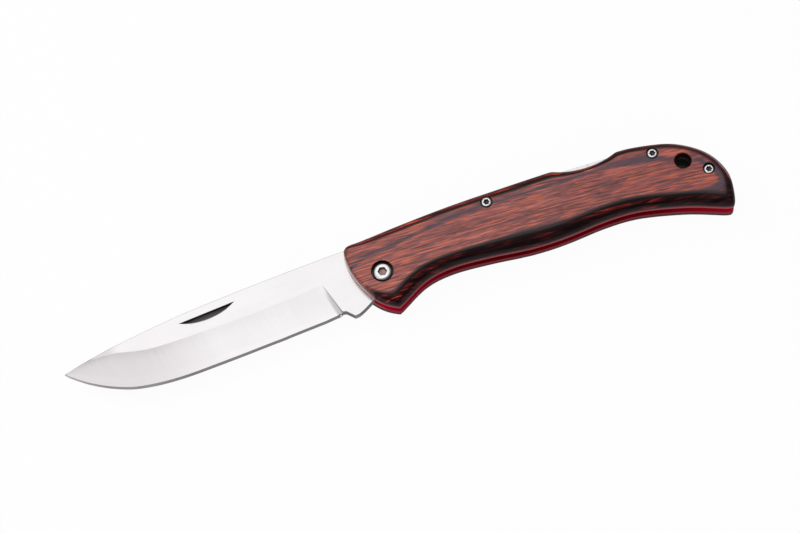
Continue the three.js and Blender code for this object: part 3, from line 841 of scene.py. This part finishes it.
def dome(radius, height, rim, low, flat):
    """Stations of a button head from its rim to its flat top, a quarter of an ellipse."""
    turns = np.radians(np.arange(0, 91, 6))
    across = flat + (radius - flat) * np.cos(turns) ** (2 / DOME_POWER)
    up = rim + (height - rim) * np.sin(turns) ** (2 / DOME_POWER)
    foot = [(radius - HEAD_BREAK, low), (radius, low + HEAD_BREAK)]
    return foot + [(r, low + z) for r, z in zip(across, up)]


def socket(radius, mouth, floor, shape):
    """Stations of a socket: a flat lip, a broken edge, the walls and a floor dished by the drill."""
    return [
        (radius + 0.1, mouth),
        (radius + 0.03, mouth, shape),
        (radius, mouth - HEAD_BREAK, shape),
        (radius, floor + HEAD_BREAK, shape),
        (radius * 0.94, floor, shape),
        (radius * 0.62, floor - 0.02),
        (0.05, floor - 0.3),
    ]


def screw(name, place, low, high, shank, head, shape, mirrored=False):
    """A screw from the end of its shank to the floor of its socket. head is the head's radius, height,
    rim height and flat, and the socket's radius, depth and the share of its painted shade and roughness
    left on its floor. The socket attribute carries that painted shade: 1 on the walls, less on the floor."""
    radius, height, rim, flat, socket_radius, socket_depth, floor_shade = head
    seat = high - height
    stations = [(shank * 0.8, low), (shank, low + shank * 0.2)]
    stations += [(shank, seat - HEAD_BREAK), (shank + HEAD_BREAK, seat)]
    stations += dome(radius, height, rim, seat, flat)
    stations += socket(socket_radius, high, high - socket_depth, shape)
    places, faces = turned(place, stations)
    reach = lengths(places[:, :2] - place) / socket_radius
    depth = np.where(reach < 1.01, np.clip((high - 0.02 - places[:, 2]) / 0.1, 0, 1), 0)
    depth *= np.where(reach < 0.65, floor_shade, 1.0)
    return put_mesh(name, places, faces, [("socket", depth)], mirrored=mirrored)


def small_screw(pin, side):
    """A six-lobe screw, worked out as a front one."""
    node = f"{pin}_screw_{side}"
    low, high = levels(node)
    if side == "back":
        low, high = STACK_HEIGHT - high, STACK_HEIGHT - low
    head = radius_of(node), SMALL_HEAD_HEIGHT, SMALL_RIM_HEIGHT, SMALL_FLAT
    head += LOBE_RADIUS, LOBE_SOCKET_DEPTH, LOBE_FLOOR_SHADE
    name = f"{pin}_lobe_screw_{side}"
    return screw(name, centre_of(node), low, high, SMALL_SHANK, head, six_lobes, side == "back"), node


def pivot_screw():
    """The button-head screw with a hexagon socket."""
    corner = HEX_ACROSS_FLATS / math.sqrt(3)
    head = radius_of("pivot_screw"), PIVOT_HEAD_HEIGHT, PIVOT_RIM_HEIGHT, PIVOT_FLAT
    head += corner, HEX_DEPTH, HEX_FLOOR_SHADE
    return screw("hexagon_pivot_screw", np.zeros(2), *levels("pivot_screw"), PIVOT_SHANK, head, hexagon)


def pivot_barrel():
    """The sleeve: a domed head in the rear slab and a tube with a blind bore."""
    low, high = levels("pivot_barrel")
    seat = low + PIVOT_HEAD_HEIGHT
    head = radius_of("pivot_barrel"), PIVOT_HEAD_HEIGHT, PIVOT_RIM_HEIGHT
    outer, bore = barrel_radius(), PIVOT_SHANK + BARREL_SEAT_GAP
    top, floor = high - SLEEVE_BREAK, seat + BORE_FLOOR
    cap = [(r, 2 * seat - z) for r, z in dome(*head, seat, PIVOT_FLAT)]
    tube = [(outer + HEAD_BREAK, seat), (outer, seat + HEAD_BREAK), (outer, top)]
    tube += [(outer - SLEEVE_BREAK, high), (bore + SLEEVE_BREAK, high), (bore, top)]
    tube += [(bore, floor), (0.05, floor)]
    return put_mesh("pivot_sleeve", *turned(np.zeros(2), cap[::-1] + tube))


def small_barrel(pin):
    """A plain sleeve, as a ring that closes on itself."""
    node = f"{pin}_barrel"
    low, high = levels(node)
    outer, bore, edge = radius_of(node), SMALL_SHANK + BARREL_SEAT_GAP, SLEEVE_BREAK
    profile = [(bore, low), (outer - edge, low), (outer, low + edge)]
    profile += [(outer, high - edge), (outer - edge, high), (bore, high)]
    loops = [lift(circle(centre_of(node), r), z) for r, z in profile]
    count = len(loops)
    faces = []
    for k in range(count):
        faces += band(k * HOLE_POINTS, (k + 1) % count * HOLE_POINTS, HOLE_POINTS)
    return put_mesh(f"{pin}_sleeve", np.vstack(loops), faces), node


# Finishes: colours are linear red, green and blue, sizes in millimetres, places in the frame's metres

# Wood: tones of the face, tones of the red veneers that the rounded edge lays bare, and how much of
# these shows at places from the foot of the edge to the face
FACE_TONES = [
    (0.35, (0.085, 0.028, 0.030)),
    (0.425, (0.185, 0.052, 0.050)),
    (0.50, (0.300, 0.078, 0.070)),
    (0.575, (0.445, 0.117, 0.094)),
    (0.65, (0.700, 0.195, 0.140)),
]
EMBER_TONES = [
    (0.30, (0.010, 0.001, 0.002)),
    (0.44, (0.060, 0.005, 0.006)),
    (0.56, (0.22, 0.018, 0.015)),
    (0.72, (0.74, 0.10, 0.05)),
]
EMBER_SHARES = [
    (0.12, 0), (0.24, 0.55), (0.40, 0.55), (0.46, 0.04), (0.50, 0.04), (0.53, 1), (0.65, 1), (0.69, 0),
]
# Painted shade: a tint that browns the wood's face towards the butt
BUTT_SHADE_TINT = (0.93, 0.78, 0.78)
DARK_BLOTCH, WARM_BLOTCH = (0.185, 0.082, 0.096), (0.62, 0.15, 0.085)
BRIGHT_DASH, DARK_DASH = (0.76, 0.15, 0.055), (0.11, 0.056, 0.062)
VEIN_TONE = (0.056, 0.042, 0.068)
# Black veneer and its streaks, and the painted light that browns it on the spine side
EBONY, EBONY_STREAK, EBONY_PAINTED_LIGHT = (0.004, 0.001, 0.002), (0.022, 0.005, 0.006), (0.075, 0.014, 0.012)
# The upright wall's own tone, and the painted reflection on it at the butt, lighter where it faces the butt
# end
WALL_TONE, REFLECTED_MAUVE, REFLECTED_MAUVE_LIGHT = (0.18, 0.040, 0.06), (0.22, 0.11, 0.13), (0.62, 0.33, 0.41)
# The steep front end's painted reflection, darker towards the belly and pale towards the spine, and its
# dark line
FRONT_REFLECTION_DARK, FRONT_REFLECTION, STEEP_LINE = (0.20, 0.075, 0.10), (0.80, 0.60, 0.55), (0.045, 0.014, 0.012)
# Painted shade on the walls of the holes in the wood
WOOD_HOLE_SHADE = (0.024, 0.003, 0.003)

# Liners: the dyed face with painted light at both ends, and painted highlights on the edges of the rear
# one, the front one and their front end
LINER_RED, LINER_RED_LIGHT, LINER_END_PAINTED_LIGHT = (0.46, 0.003, 0.012), (0.58, 0.006, 0.022), (0.98, 0.012, 0.065)
REAR_EDGE_HIGHLIGHT, FRONT_EDGE_HIGHLIGHT, END_EDGE_HIGHLIGHT = (0.56, 0.085, 0.12), (0.92, 0.21, 0.24), (0.85, 0.52, 0.49)
LINER_BORE_SHADE = (0.05, 0.001, 0.003)
LINER_MIDDLE = 0.051

# Metals
# Polished blade steel, its lighter patches, and painted shade on the ground side near the tip
BLADE_TONE, BLADE_LIGHT, BLADE_TIP_SHADE = (0.935, 0.91, 0.918), (0.965, 0.942, 0.946), (0.78, 0.74, 0.755)
# The nick's darker steel at its rim, and painted shade deepening to its floor
NICK_RIM, NICK_FLOOR_SHADE = (0.30, 0.29, 0.30), (0.07, 0.066, 0.07)
CHROME_TONE, CHROME_HAZE = (0.97, 0.955, 0.96), (0.90, 0.88, 0.89)
# Painted shade on the walls of the holes in steel
BORE_SHADE = (0.02, 0.012, 0.012)


class Wiring:
    """The nodes of a material or a world, made and joined by short calls. Colours are opaque."""

    def __init__(self, owner):
        owner.use_nodes = True
        self.owner = owner
        self.tree = owner.node_tree
        self.tree.nodes.clear()

    def node(self, kind, inputs=(), **settings):
        """A new node with its settings, and its inputs set or linked."""
        made = self.tree.nodes.new("ShaderNode" + kind)
        for key, value in settings.items():
            setattr(made, key, value)
        for key, value in dict(inputs).items():
            spot = made.inputs[key]
            if isinstance(value, bpy.types.NodeSocket):
                self.tree.links.new(value, spot)
            else:
                spot.default_value = (*value, 1) if spot.type == "RGBA" else value
        return made

    def end(self, kind, shader):
        """Joins a shader to the output, and returns the material or world."""
        self.node(kind, {0: shader.outputs[0]})
        return self.owner

    def math(self, operation, a, b=0.0, c=0.0):
        """One step of arithmetic."""
        return self.node("Math", {0: a, 1: b, 2: c}, operation=operation).outputs[0]

    def times(self, *factors):
        """The product of all factors."""
        product, *others = factors
        for factor in others:
            product = self.math("MULTIPLY", product, factor)
        return product

    def slope(self, value, rise, start):
        """value times rise, plus start."""
        return self.math("MULTIPLY_ADD", value, rise, start)

    def mix(self, share, a, b, blend="MIX"):
        """Colour a going over to colour b by a share."""
        inputs = {0: share, 6: a, 7: b}
        return self.node("Mix", inputs, data_type="RGBA", blend_type=blend).outputs[2]

    def either(self, share, a, b):
        """Number a going over to number b by a share."""
        return self.node("Mix", {0: share, 2: a, 3: b}).outputs[0]

    def between(self, value, low, high, start=0.0, end=1.0, curve="SMOOTHSTEP"):
        """start where value is low, end where it is high, held past them and smooth in between."""
        inputs = {0: value, 1: low, 2: high, 3: start, 4: end}
        return self.node("MapRange", inputs, interpolation_type=curve).outputs[0]

    def ramp(self, value, stops):
        """A colour by value, straight from each stop to the next."""
        made = self.node("ValToRGB", {0: value})
        points = made.color_ramp.elements
        while len(points) < len(stops):
            points.new(0.5)
        for point, (place, colour) in zip(points, stops):
            point.position = place
            point.color = (*colour, 1)
        return made.outputs[0]

    def place(self):
        """Object coordinates."""
        return self.node("TexCoord").outputs["Object"]

    def parts(self, vector):
        """The x, y and z of a vector."""
        return self.node("SeparateXYZ", {0: vector}).outputs

    def noise(self, cell, detail, rough=0.5, distortion=0.0, turn=0.0, vector=None):
        """Noise in cells of the given millimetres, turned about Z by turn degrees."""
        size, turned_by = [side * MM for side in cell], (0, 0, math.radians(turn))
        inputs = {"Vector": vector or self.place(), "Rotation": turned_by, "Scale": size}
        cells = self.node("Mapping", inputs, vector_type="TEXTURE").outputs[0]
        inputs = {"Vector": cells, "Scale": 1.0, "Detail": detail, "Roughness": rough}
        return self.node("TexNoise", inputs | {"Distortion": distortion}).outputs[0]

    def attribute(self, name):
        """A number that the mesh carries at its points."""
        return self.node("Attribute", attribute_name=name).outputs["Fac"]

    def bump(self, height, strength, distance):
        """A normal tilted by height, whose full rise is distance in millimetres."""
        inputs = {"Height": height, "Strength": strength, "Distance": distance * MM}
        return self.node("Bump", inputs).outputs[0]

    def surface(self, **inputs):
        """The finished material, from the settings of its shader."""
        names = {key.replace("_", " "): value for key, value in inputs.items()}
        return self.end("OutputMaterial", self.node("BsdfPrincipled", names))

    def seen_directly(self):
        """1 for rays from the camera, also through glass."""
        path = self.node("LightPath").outputs
        return self.math("MAXIMUM", path["Is Camera Ray"], path["Is Transmission Ray"])

    def reflected(self):
        """1 for rays that come by way of a reflection."""
        return self.node("LightPath").outputs["Is Glossy Ray"]


def finish(name):
    """The wiring of a new material."""
    return Wiring(bpy.data.materials.new(name))


def laminated_wood():
    """Red and black veneers under clear lacquer. The streaks are noise drawn out along the grain, which
    bends towards the belly as y + k x^2. The veneer attribute lays dark and red bands along the rounded
    edge, and the vein attribute the dark sweep across the face."""
    f = finish("laminated_wood")
    x, y, z = f.parts(f.place())
    across = f.math("ADD", f.math("ADD", y, f.times(x, x, GRAIN_BEND / MM)), f.times(x, GRAIN_LEAN))
    grain = f.node("CombineXYZ", {0: x, 1: across, 2: z}).outputs[0]
    streaks = f.noise((14, 0.85, 3), 2, rough=0.55, distortion=0.3, vector=grain)
    threads = f.noise((6, 0.5, 2), 2, rough=0.55, distortion=0.2, vector=grain)
    dashes = f.noise((7.5, 0.5, 2), 1, distortion=0.4, vector=grain)
    blotches = f.noise((6, 1.3, 3), 2, distortion=0.8, vector=grain)
    drift = f.noise((24, 4, 8), 2, vector=grain)
    drifting = f.math("SUBTRACT", drift, 0.5)
    figure = f.slope(drifting, 0.22, f.slope(streaks, 0.45, f.times(threads, 0.55)))

    # the face: painted light lifts its tone towards the front and a painted shade tint browns it towards
    # the butt; blotches, dashes and the vein
    face = f.ramp(f.math("ADD", figure, f.between(x, -0.01, 0.05, 0.018, 0.0)), FACE_TONES)
    face = f.mix(f.between(x, 0.045, 0.095), face, BUTT_SHADE_TINT, blend="MULTIPLY")
    face = f.mix(f.between(blotches, 0.50, 0.68, 0.0, 0.5), face, DARK_BLOTCH)
    face = f.mix(f.between(blotches, 0.46, 0.34, 0.0, 0.3), face, WARM_BLOTCH)
    face = f.mix(f.between(dashes, 0.56, 0.70, 0.0, 0.7), face, BRIGHT_DASH)
    face = f.mix(f.between(dashes, 0.42, 0.32, 0.0, 0.55), face, DARK_DASH)
    vein_gap = f.slope(f.math("SUBTRACT", threads, 0.5), 1.5, f.attribute("vein"))
    face = f.mix(f.between(vein_gap, -0.55, 0.5, 0.86, 0.0), face, VEIN_TONE)

    # the rounded edge: red veneers between black ones; painted light brightens the red on the side that
    # faces the spine and browns the black there at the ends
    depth = f.math("ADD", f.attribute("veneer"), f.times(drifting, 0.25))
    normal = f.parts(f.node("NewGeometry").outputs["Normal"])
    spineward = f.between(normal[1], -0.15, 0.15)
    painted_light_run = f.times(f.between(x, 0.022, 0.036, 0.14, 0.25), f.between(x, 0.055, 0.065, 1.0, 0.4))
    ember = f.slope(figure, 1.7, f.between(x, 0.0, 0.06, -0.44, -0.49))
    ember = f.ramp(f.slope(spineward, painted_light_run, ember), EMBER_TONES)
    shares = [(place, (share, share, share)) for place, share in EMBER_SHARES]
    bands = f.ramp(f.between(depth, -0.2, 1.3, curve="LINEAR"), shares)
    at_butt = f.between(x, 0.088, 0.098)
    bands = f.times(bands, f.slope(at_butt, -0.7, 1.0))
    at_ends = f.math("MAXIMUM", f.between(x, 0.035, 0.0), f.between(x, 0.075, 0.095))
    ebony = f.mix(f.between(streaks, 0.4, 0.65), EBONY, EBONY_STREAK)
    ebony = f.mix(f.times(spineward, at_ends, 0.8), ebony, EBONY_PAINTED_LIGHT)

    # the upright wall, with a painted mauve reflection of the table at the butt, lighter where the wall
    # faces the butt end and reaching a little up the rounded edge
    butt_wall_reflection = f.times(at_butt, f.between(normal[1], -0.3, 0.0))
    wall = f.mix(butt_wall_reflection, WALL_TONE, f.mix(f.between(normal[0], 0.15, 0.6), REFLECTED_MAUVE, REFLECTED_MAUVE_LIGHT))
    off_wall = f.slope(butt_wall_reflection, -0.70, depth)
    dark = f.mix(f.between(off_wall, 0.02, -0.06), ebony, wall)
    colour = f.mix(f.between(depth, 0.93, 1.25), f.mix(bands, dark, ember), face)

    # the steep front end, with a painted reflection that is darker towards the belly and a dark line; and
    # painted shade on the walls of the holes
    front_end_reflection = f.mix(f.between(y, -0.0065, 0.0), FRONT_REFLECTION_DARK, FRONT_REFLECTION)
    steep = f.mix(f.between(depth, 0.17, 0.23), front_end_reflection, STEEP_LINE)
    steep = f.mix(f.between(depth, 0.34, 0.44), steep, face)
    colour = f.mix(f.attribute("narrow"), colour, steep)
    colour = f.mix(f.attribute("hole"), colour, WOOD_HOLE_SHADE)
    return f.surface(
        Base_Color=colour, Roughness=f.between(threads, 0.3, 0.7, 0.4, 0.5), Specular_IOR_Level=0.0,
        Normal=f.bump(f.slope(streaks, 0.5, threads), 0.1, 0.04),
        Coat_Weight=1.0, Coat_Roughness=0.09, Coat_IOR=1.5,
    )


def red_liner():
    """Red-dyed metal with faint rolling lines, half metallic so that its colour holds in shade."""
    f = finish("red_liner")
    rolling = f.noise((20, 0.3, 0.3), 3)
    clouds = f.noise((7, 7, 7), 2)
    x, _, z = f.parts(f.place())
    from_middle = f.math("ABSOLUTE", f.math("SUBTRACT", x, LINER_MIDDLE))
    colour = f.mix(f.between(clouds, 0.35, 0.65), LINER_RED, LINER_RED_LIGHT)
    # Painted light: brighter red towards both ends of the liners, where light falls into the well
    colour = f.mix(f.between(from_middle, 0.030, 0.048), colour, LINER_END_PAINTED_LIGHT)
    # Painted highlights on the outer edges: pinker on the front liner, palest at the front end
    edge_highlight = f.mix(f.between(z, 0.007, 0.008), REAR_EDGE_HIGHLIGHT, FRONT_EDGE_HIGHLIGHT)
    edge_highlight = f.mix(f.between(x, -0.007, -0.010, 0.0, 0.7), edge_highlight, END_EDGE_HIGHLIGHT)
    colour = f.mix(f.times(f.attribute("rim"), 0.85), colour, edge_highlight)
    # Painted shade on the walls of the holes
    colour = f.mix(f.attribute("bore"), colour, LINER_BORE_SHADE)
    return f.surface(
        Base_Color=colour, Metallic=0.4, Roughness=f.between(rolling, 0.3, 0.7, 0.26, 0.36),
        Normal=f.bump(rolling, 0.05, 0.02), Specular_IOR_Level=0.35,
    )


def blade_steel():
    """Finely polished steel, with painted shade that darkens the ground side near the tip. Faint lines
    run along the flat and down the ground side, the edge bevel keeps those of the whetstone, and the
    nick is darker and rougher, with painted shade deepening towards its floor."""
    f = finish("blade_steel")
    ground, nick = f.attribute("ground"), f.attribute("nick")
    along = f.noise((25, 0.16, 0.3), 3, rough=0.6)
    across = f.noise((0.16, 20, 20), 3, rough=0.6, turn=8)
    stone = f.noise((0.12, 1.5, 1.5), 2, turn=24)
    cloud = f.noise((16, 8, 10), 2)
    on_grind = f.between(ground, 0.02, 0.08)
    on_bevel = f.between(ground, 0.77, 0.79)
    in_nick = f.between(nick, 0.0, 0.1)
    to_tip = f.between(f.parts(f.place())[0], -0.055, -0.09)
    lines = f.either(on_bevel, f.either(on_grind, along, across), stone)
    colour = f.mix(f.between(cloud, 0.3, 0.7), BLADE_TONE, BLADE_LIGHT)
    # Painted shade: darker on the ground side towards the tip
    colour = f.mix(f.times(on_grind, to_tip), colour, BLADE_TIP_SHADE)
    # The nick is darker, and painted shade deepens it towards its floor
    colour = f.mix(in_nick, colour, f.mix(nick, NICK_RIM, NICK_FLOOR_SHADE))
    rough = f.slope(on_bevel, -0.04, f.between(lines, 0.25, 0.75, 0.15, 0.22))
    rough = f.slope(in_nick, 0.2, rough)
    return f.surface(Base_Color=colour, Metallic=1.0, Roughness=rough, Normal=f.bump(lines, 0.03, 0.01))


def brushed_steel(name, tone, low, high):
    """Steel with rolling lines and a few darker handling marks, its roughness between low and high. The
    walls of its holes are rougher and get painted shade, nearly black."""
    f = finish(name)
    lines = f.noise((17, 0.2, 0.2), 3)
    marks = f.noise((2, 2, 2), 4)
    bore = f.attribute("bore")
    colour = f.mix(f.between(marks, 0.5, 0.75), tone, tuple(0.8 * part for part in tone))
    # Painted shade on the walls of the holes
    colour = f.mix(bore, colour, BORE_SHADE)
    rough = f.slope(bore, 0.3, f.between(lines, 0.3, 0.7, low, high))
    return f.surface(Base_Color=colour, Metallic=1.0, Roughness=rough, Normal=f.bump(lines, 0.06, 0.01))


def chrome(name, low, high, shade):
    """Bright plating, nearly a mirror with a slight haze. Down in the socket it is rougher and its colour
    goes over to the given shade, painted shade over the darker steel there."""
    f = finish(name)
    haze = f.noise((0.7, 0.7, 0.7), 3)
    socket = f.attribute("socket")
    colour = f.mix(f.between(haze, 0.35, 0.7), CHROME_TONE, CHROME_HAZE)
    # Painted shade down in the socket
    colour = f.mix(socket, colour, shade)
    rough = f.slope(socket, 0.3, f.between(haze, 0.3, 0.7, low, high))
    return f.surface(Base_Color=colour, Metallic=1.0, Roughness=rough)


# Putting the knife together

def paint(piece, material):
    """Gives a piece one material in place of those it has."""
    piece.data.materials.clear()
    piece.data.materials.append(material)


def build_knife():
    """Every piece of the knife, each in place of its CAD node."""
    finishes = {
        "laminated_wood": laminated_wood(),
        "red_liner": red_liner(),
        "blade_steel": blade_steel(),
        "bar_steel": brushed_steel("bar_steel", (0.93, 0.92, 0.92), 0.16, 0.26),
        "spring_steel": brushed_steel("spring_steel", (0.42, 0.43, 0.45), 0.26, 0.4),
        # The last colours are the painted shade down in the sockets
        "chromed_screw": chrome("chromed_screw", 0.06, 0.12, (0.30, 0.13, 0.08)),
        "small_screw": chrome("small_screw", 0.08, 0.16, (0.05, 0.04, 0.045)),
    }
    bronze = brushed_steel("bronze_washer", (0.5, 0.32, 0.13), 0.3, 0.42)

    def dress(piece, slot, node, body="handle"):
        """Gives a piece its finish and, where it rides on one, its body, and hides the node it stands for.
        """
        paint(piece, finishes[slot])
        if body:
            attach(piece, body)
        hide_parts(node)

    dress(slab("front_slab", False, [0, 0, 0]), "laminated_wood", "scale_front")
    dress(slab("rear_slab", True, REAR_VEIN_SHIFT), "laminated_wood", "scale_back")
    dress(sheet_metal("front_red_liner", "liner_front", LINER_BREAK), "red_liner", "liner_front")
    dress(sheet_metal("rear_red_liner", "liner_back", LINER_BREAK), "red_liner", "liner_back")
    dress(blade("ground_blade"), "blade_steel", "blade", body="blade")
    dress(sheet_metal("rocker_bar", "lock_bar", BAR_BREAK), "bar_steel", "lock_bar", body="lock_bar")
    dress(sheet_metal("butt_block", "butt_spacer", SPACER_BREAK), "bar_steel", "butt_spacer")
    bent = sheet_metal("bar_spring", "leaf_spring", SPRING_BREAK)
    dress(bent, "spring_steel", "leaf_spring", body=None)
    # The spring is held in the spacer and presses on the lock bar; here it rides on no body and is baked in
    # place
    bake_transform(bent)
    dress(pivot_screw(), "chromed_screw", "pivot_screw")
    dress(pivot_barrel(), "chromed_screw", "pivot_barrel")
    for pin in SMALL_PINS:
        sleeve, node = small_barrel(pin)
        dress(sleeve, "bar_steel", node)
        for side in ("front", "back"):
            piece, node = small_screw(pin, side)
            dress(piece, "small_screw", node)
    for node in ("washer_back", "washer_front"):
        paint(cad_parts[node], bronze)


# Table, light and camera

# The table, in metres, and its colour and its share of glow in reflections and to the camera
TABLE_HALF = 3.0
TABLE_DROP = 0.05 * MM
TABLE_REFLECTED, TABLE_SEEN = (0.25, 0.24, 0.245), (0.95, 0.95, 0.95)
GLOSSY_GLOW = 0.08
SEEN_GLOW = 0.96

# The sky: the vault's turn and the tilts at which it and the shelf begin and end, in degrees, their
# light, and the vault's factors along X, each going between two directions from one level to another
VAULT_TURN = 25
VAULT_BELLY = [-16, 5]
VAULT_SPINE = [31, 47]
SHELF_BELLY = [-45, -15]
VAULT_LIGHT = 0.9
SKY_DIM = 0.08
SHELF_LIGHT = 0.1
VAULT_ALONG = [
    (-0.4, -0.1, 0.62, 1.0), (-0.98, -0.75, 0.15, 1.0), (0.1, 0.25, 1.0, 0.82), (0.3, 0.6, 1.0, 0.2),
]

# Lamps as name, place, watts and width, and the camera in the frame's millimetres. Its focal length is
# FOCAL_PIXELS where the picture's width is PICTURE_PIXELS
LAMPS = [("key_lamp", (-0.4, 0.35, 0.75), 4.2, 0.5), ("fill_lamp", (0.1, -1.1, 0.9), 4.5, 0.8)]
EYE = np.array([-72.25, -275.6, 761.0])
AIM = np.array([0.6, 1.9, 14.0])
UPRIGHT = np.array([0.35365, 0.93538, 0.0])
FOCAL_PIXELS, PICTURE_PIXELS, SENSOR = 2560, 800, 36


def table():
    """A white table. To the camera it glows like white paper, with a share left to the light that falls
    on it, so that it keeps the knife's shadow. In reflections it is dim."""
    corners = [(-1, -1, 0), (1, -1, 0), (1, 1, 0), (-1, 1, 0)]
    mesh = bpy.data.meshes.new("table")
    mesh.from_pydata([[TABLE_HALF * part for part in corner] for corner in corners], [], [(0, 1, 2, 3)])
    piece = shown("table", mesh)
    piece.location.z = -TABLE_DROP
    f = finish("white_table")
    direct = f.seen_directly()
    seen = f.math("MAXIMUM", direct, f.reflected())
    lit = f.node("BsdfDiffuse", {"Color": f.mix(direct, TABLE_REFLECTED, TABLE_SEEN)})
    glow = f.node("Emission", {"Color": (1, 1, 1), "Strength": 1.0})
    share = f.slope(direct, SEEN_GLOW - GLOSSY_GLOW, f.times(seen, GLOSSY_GLOW))
    both = f.node("MixShader", {0: share, 1: lit.outputs[0], 2: glow.outputs[0]})
    mesh.materials.append(f.end("OutputMaterial", both))


def sky():
    """White to the camera. Otherwise a bright vault over the knife, from just past the zenith on the
    belly side to halfway down on the spine side, a faint shelf of light below it, and dim elsewhere.
    Its tilt is atan2(w, z), with w the level direction that looks to the spine side and a little to the
    tip."""
    f = Wiring(bpy.data.worlds.new("studio"))
    bpy.context.scene.world = f.owner
    way = f.node("TexCoord").outputs["Generated"]
    x, _, z = f.parts(way)
    turn = math.radians(VAULT_TURN)
    inputs = {0: way, 1: (-math.sin(turn), math.cos(turn), 0)}
    toward = f.node("VectorMath", inputs, operation="DOT_PRODUCT").outputs["Value"]
    tilt = f.math("ARCTAN2", toward, z)
    belly, spine, shelf = (np.radians(edges).tolist() for edges in (VAULT_BELLY, VAULT_SPINE, SHELF_BELLY))
    vault = f.times(f.between(tilt, *belly), f.between(tilt, *spine, 1.0, 0.0))
    vault = f.times(vault, *(f.between(x, *factor) for factor in VAULT_ALONG))
    vault = f.times(vault, f.slope(f.reflected(), 1.0 - VAULT_LIGHT, VAULT_LIGHT))
    level = f.math("MAXIMUM", vault, f.between(tilt, *shelf, SKY_DIM, SKY_DIM + SHELF_LIGHT))
    strength = f.math("MAXIMUM", level, f.seen_directly())
    f.end("OutputWorld", f.node("Background", {"Color": (1, 1, 1), "Strength": strength}))


def lamp(name, place, power, size):
    """A square soft lamp aimed at the knife, which doesn't show in its metal."""
    light = bpy.data.lights.new(name, "AREA")
    light.energy = power
    light.size = size
    piece = shown(name, light)
    piece.location = place
    piece.rotation_euler = (-Vector(place)).to_track_quat("-Z", "Y").to_euler()
    piece.visible_glossy = False


def camera():
    """A long lens over the belly side, level along a line that leans across the handle."""
    forward = (AIM - EYE) / np.linalg.norm(AIM - EYE)
    right = np.cross(forward, UPRIGHT)
    right /= np.linalg.norm(right)
    lens = bpy.data.cameras.new("camera")
    lens.sensor_width = SENSOR
    lens.lens = FOCAL_PIXELS / PICTURE_PIXELS * SENSOR
    lens.clip_start = 0.01
    turn = np.eye(4)
    turn[:3, :3] = np.c_[right, np.cross(right, forward), -forward]
    turn[:3, 3] = EYE * MM
    piece = shown("camera", lens)
    piece.matrix_world = Matrix(turn.tolist())
    bpy.context.scene.camera = piece


build_knife()
table()
sky()
for settings in LAMPS:
    lamp(*settings)
camera()
bpy.context.scene.view_settings.view_transform = "Standard"
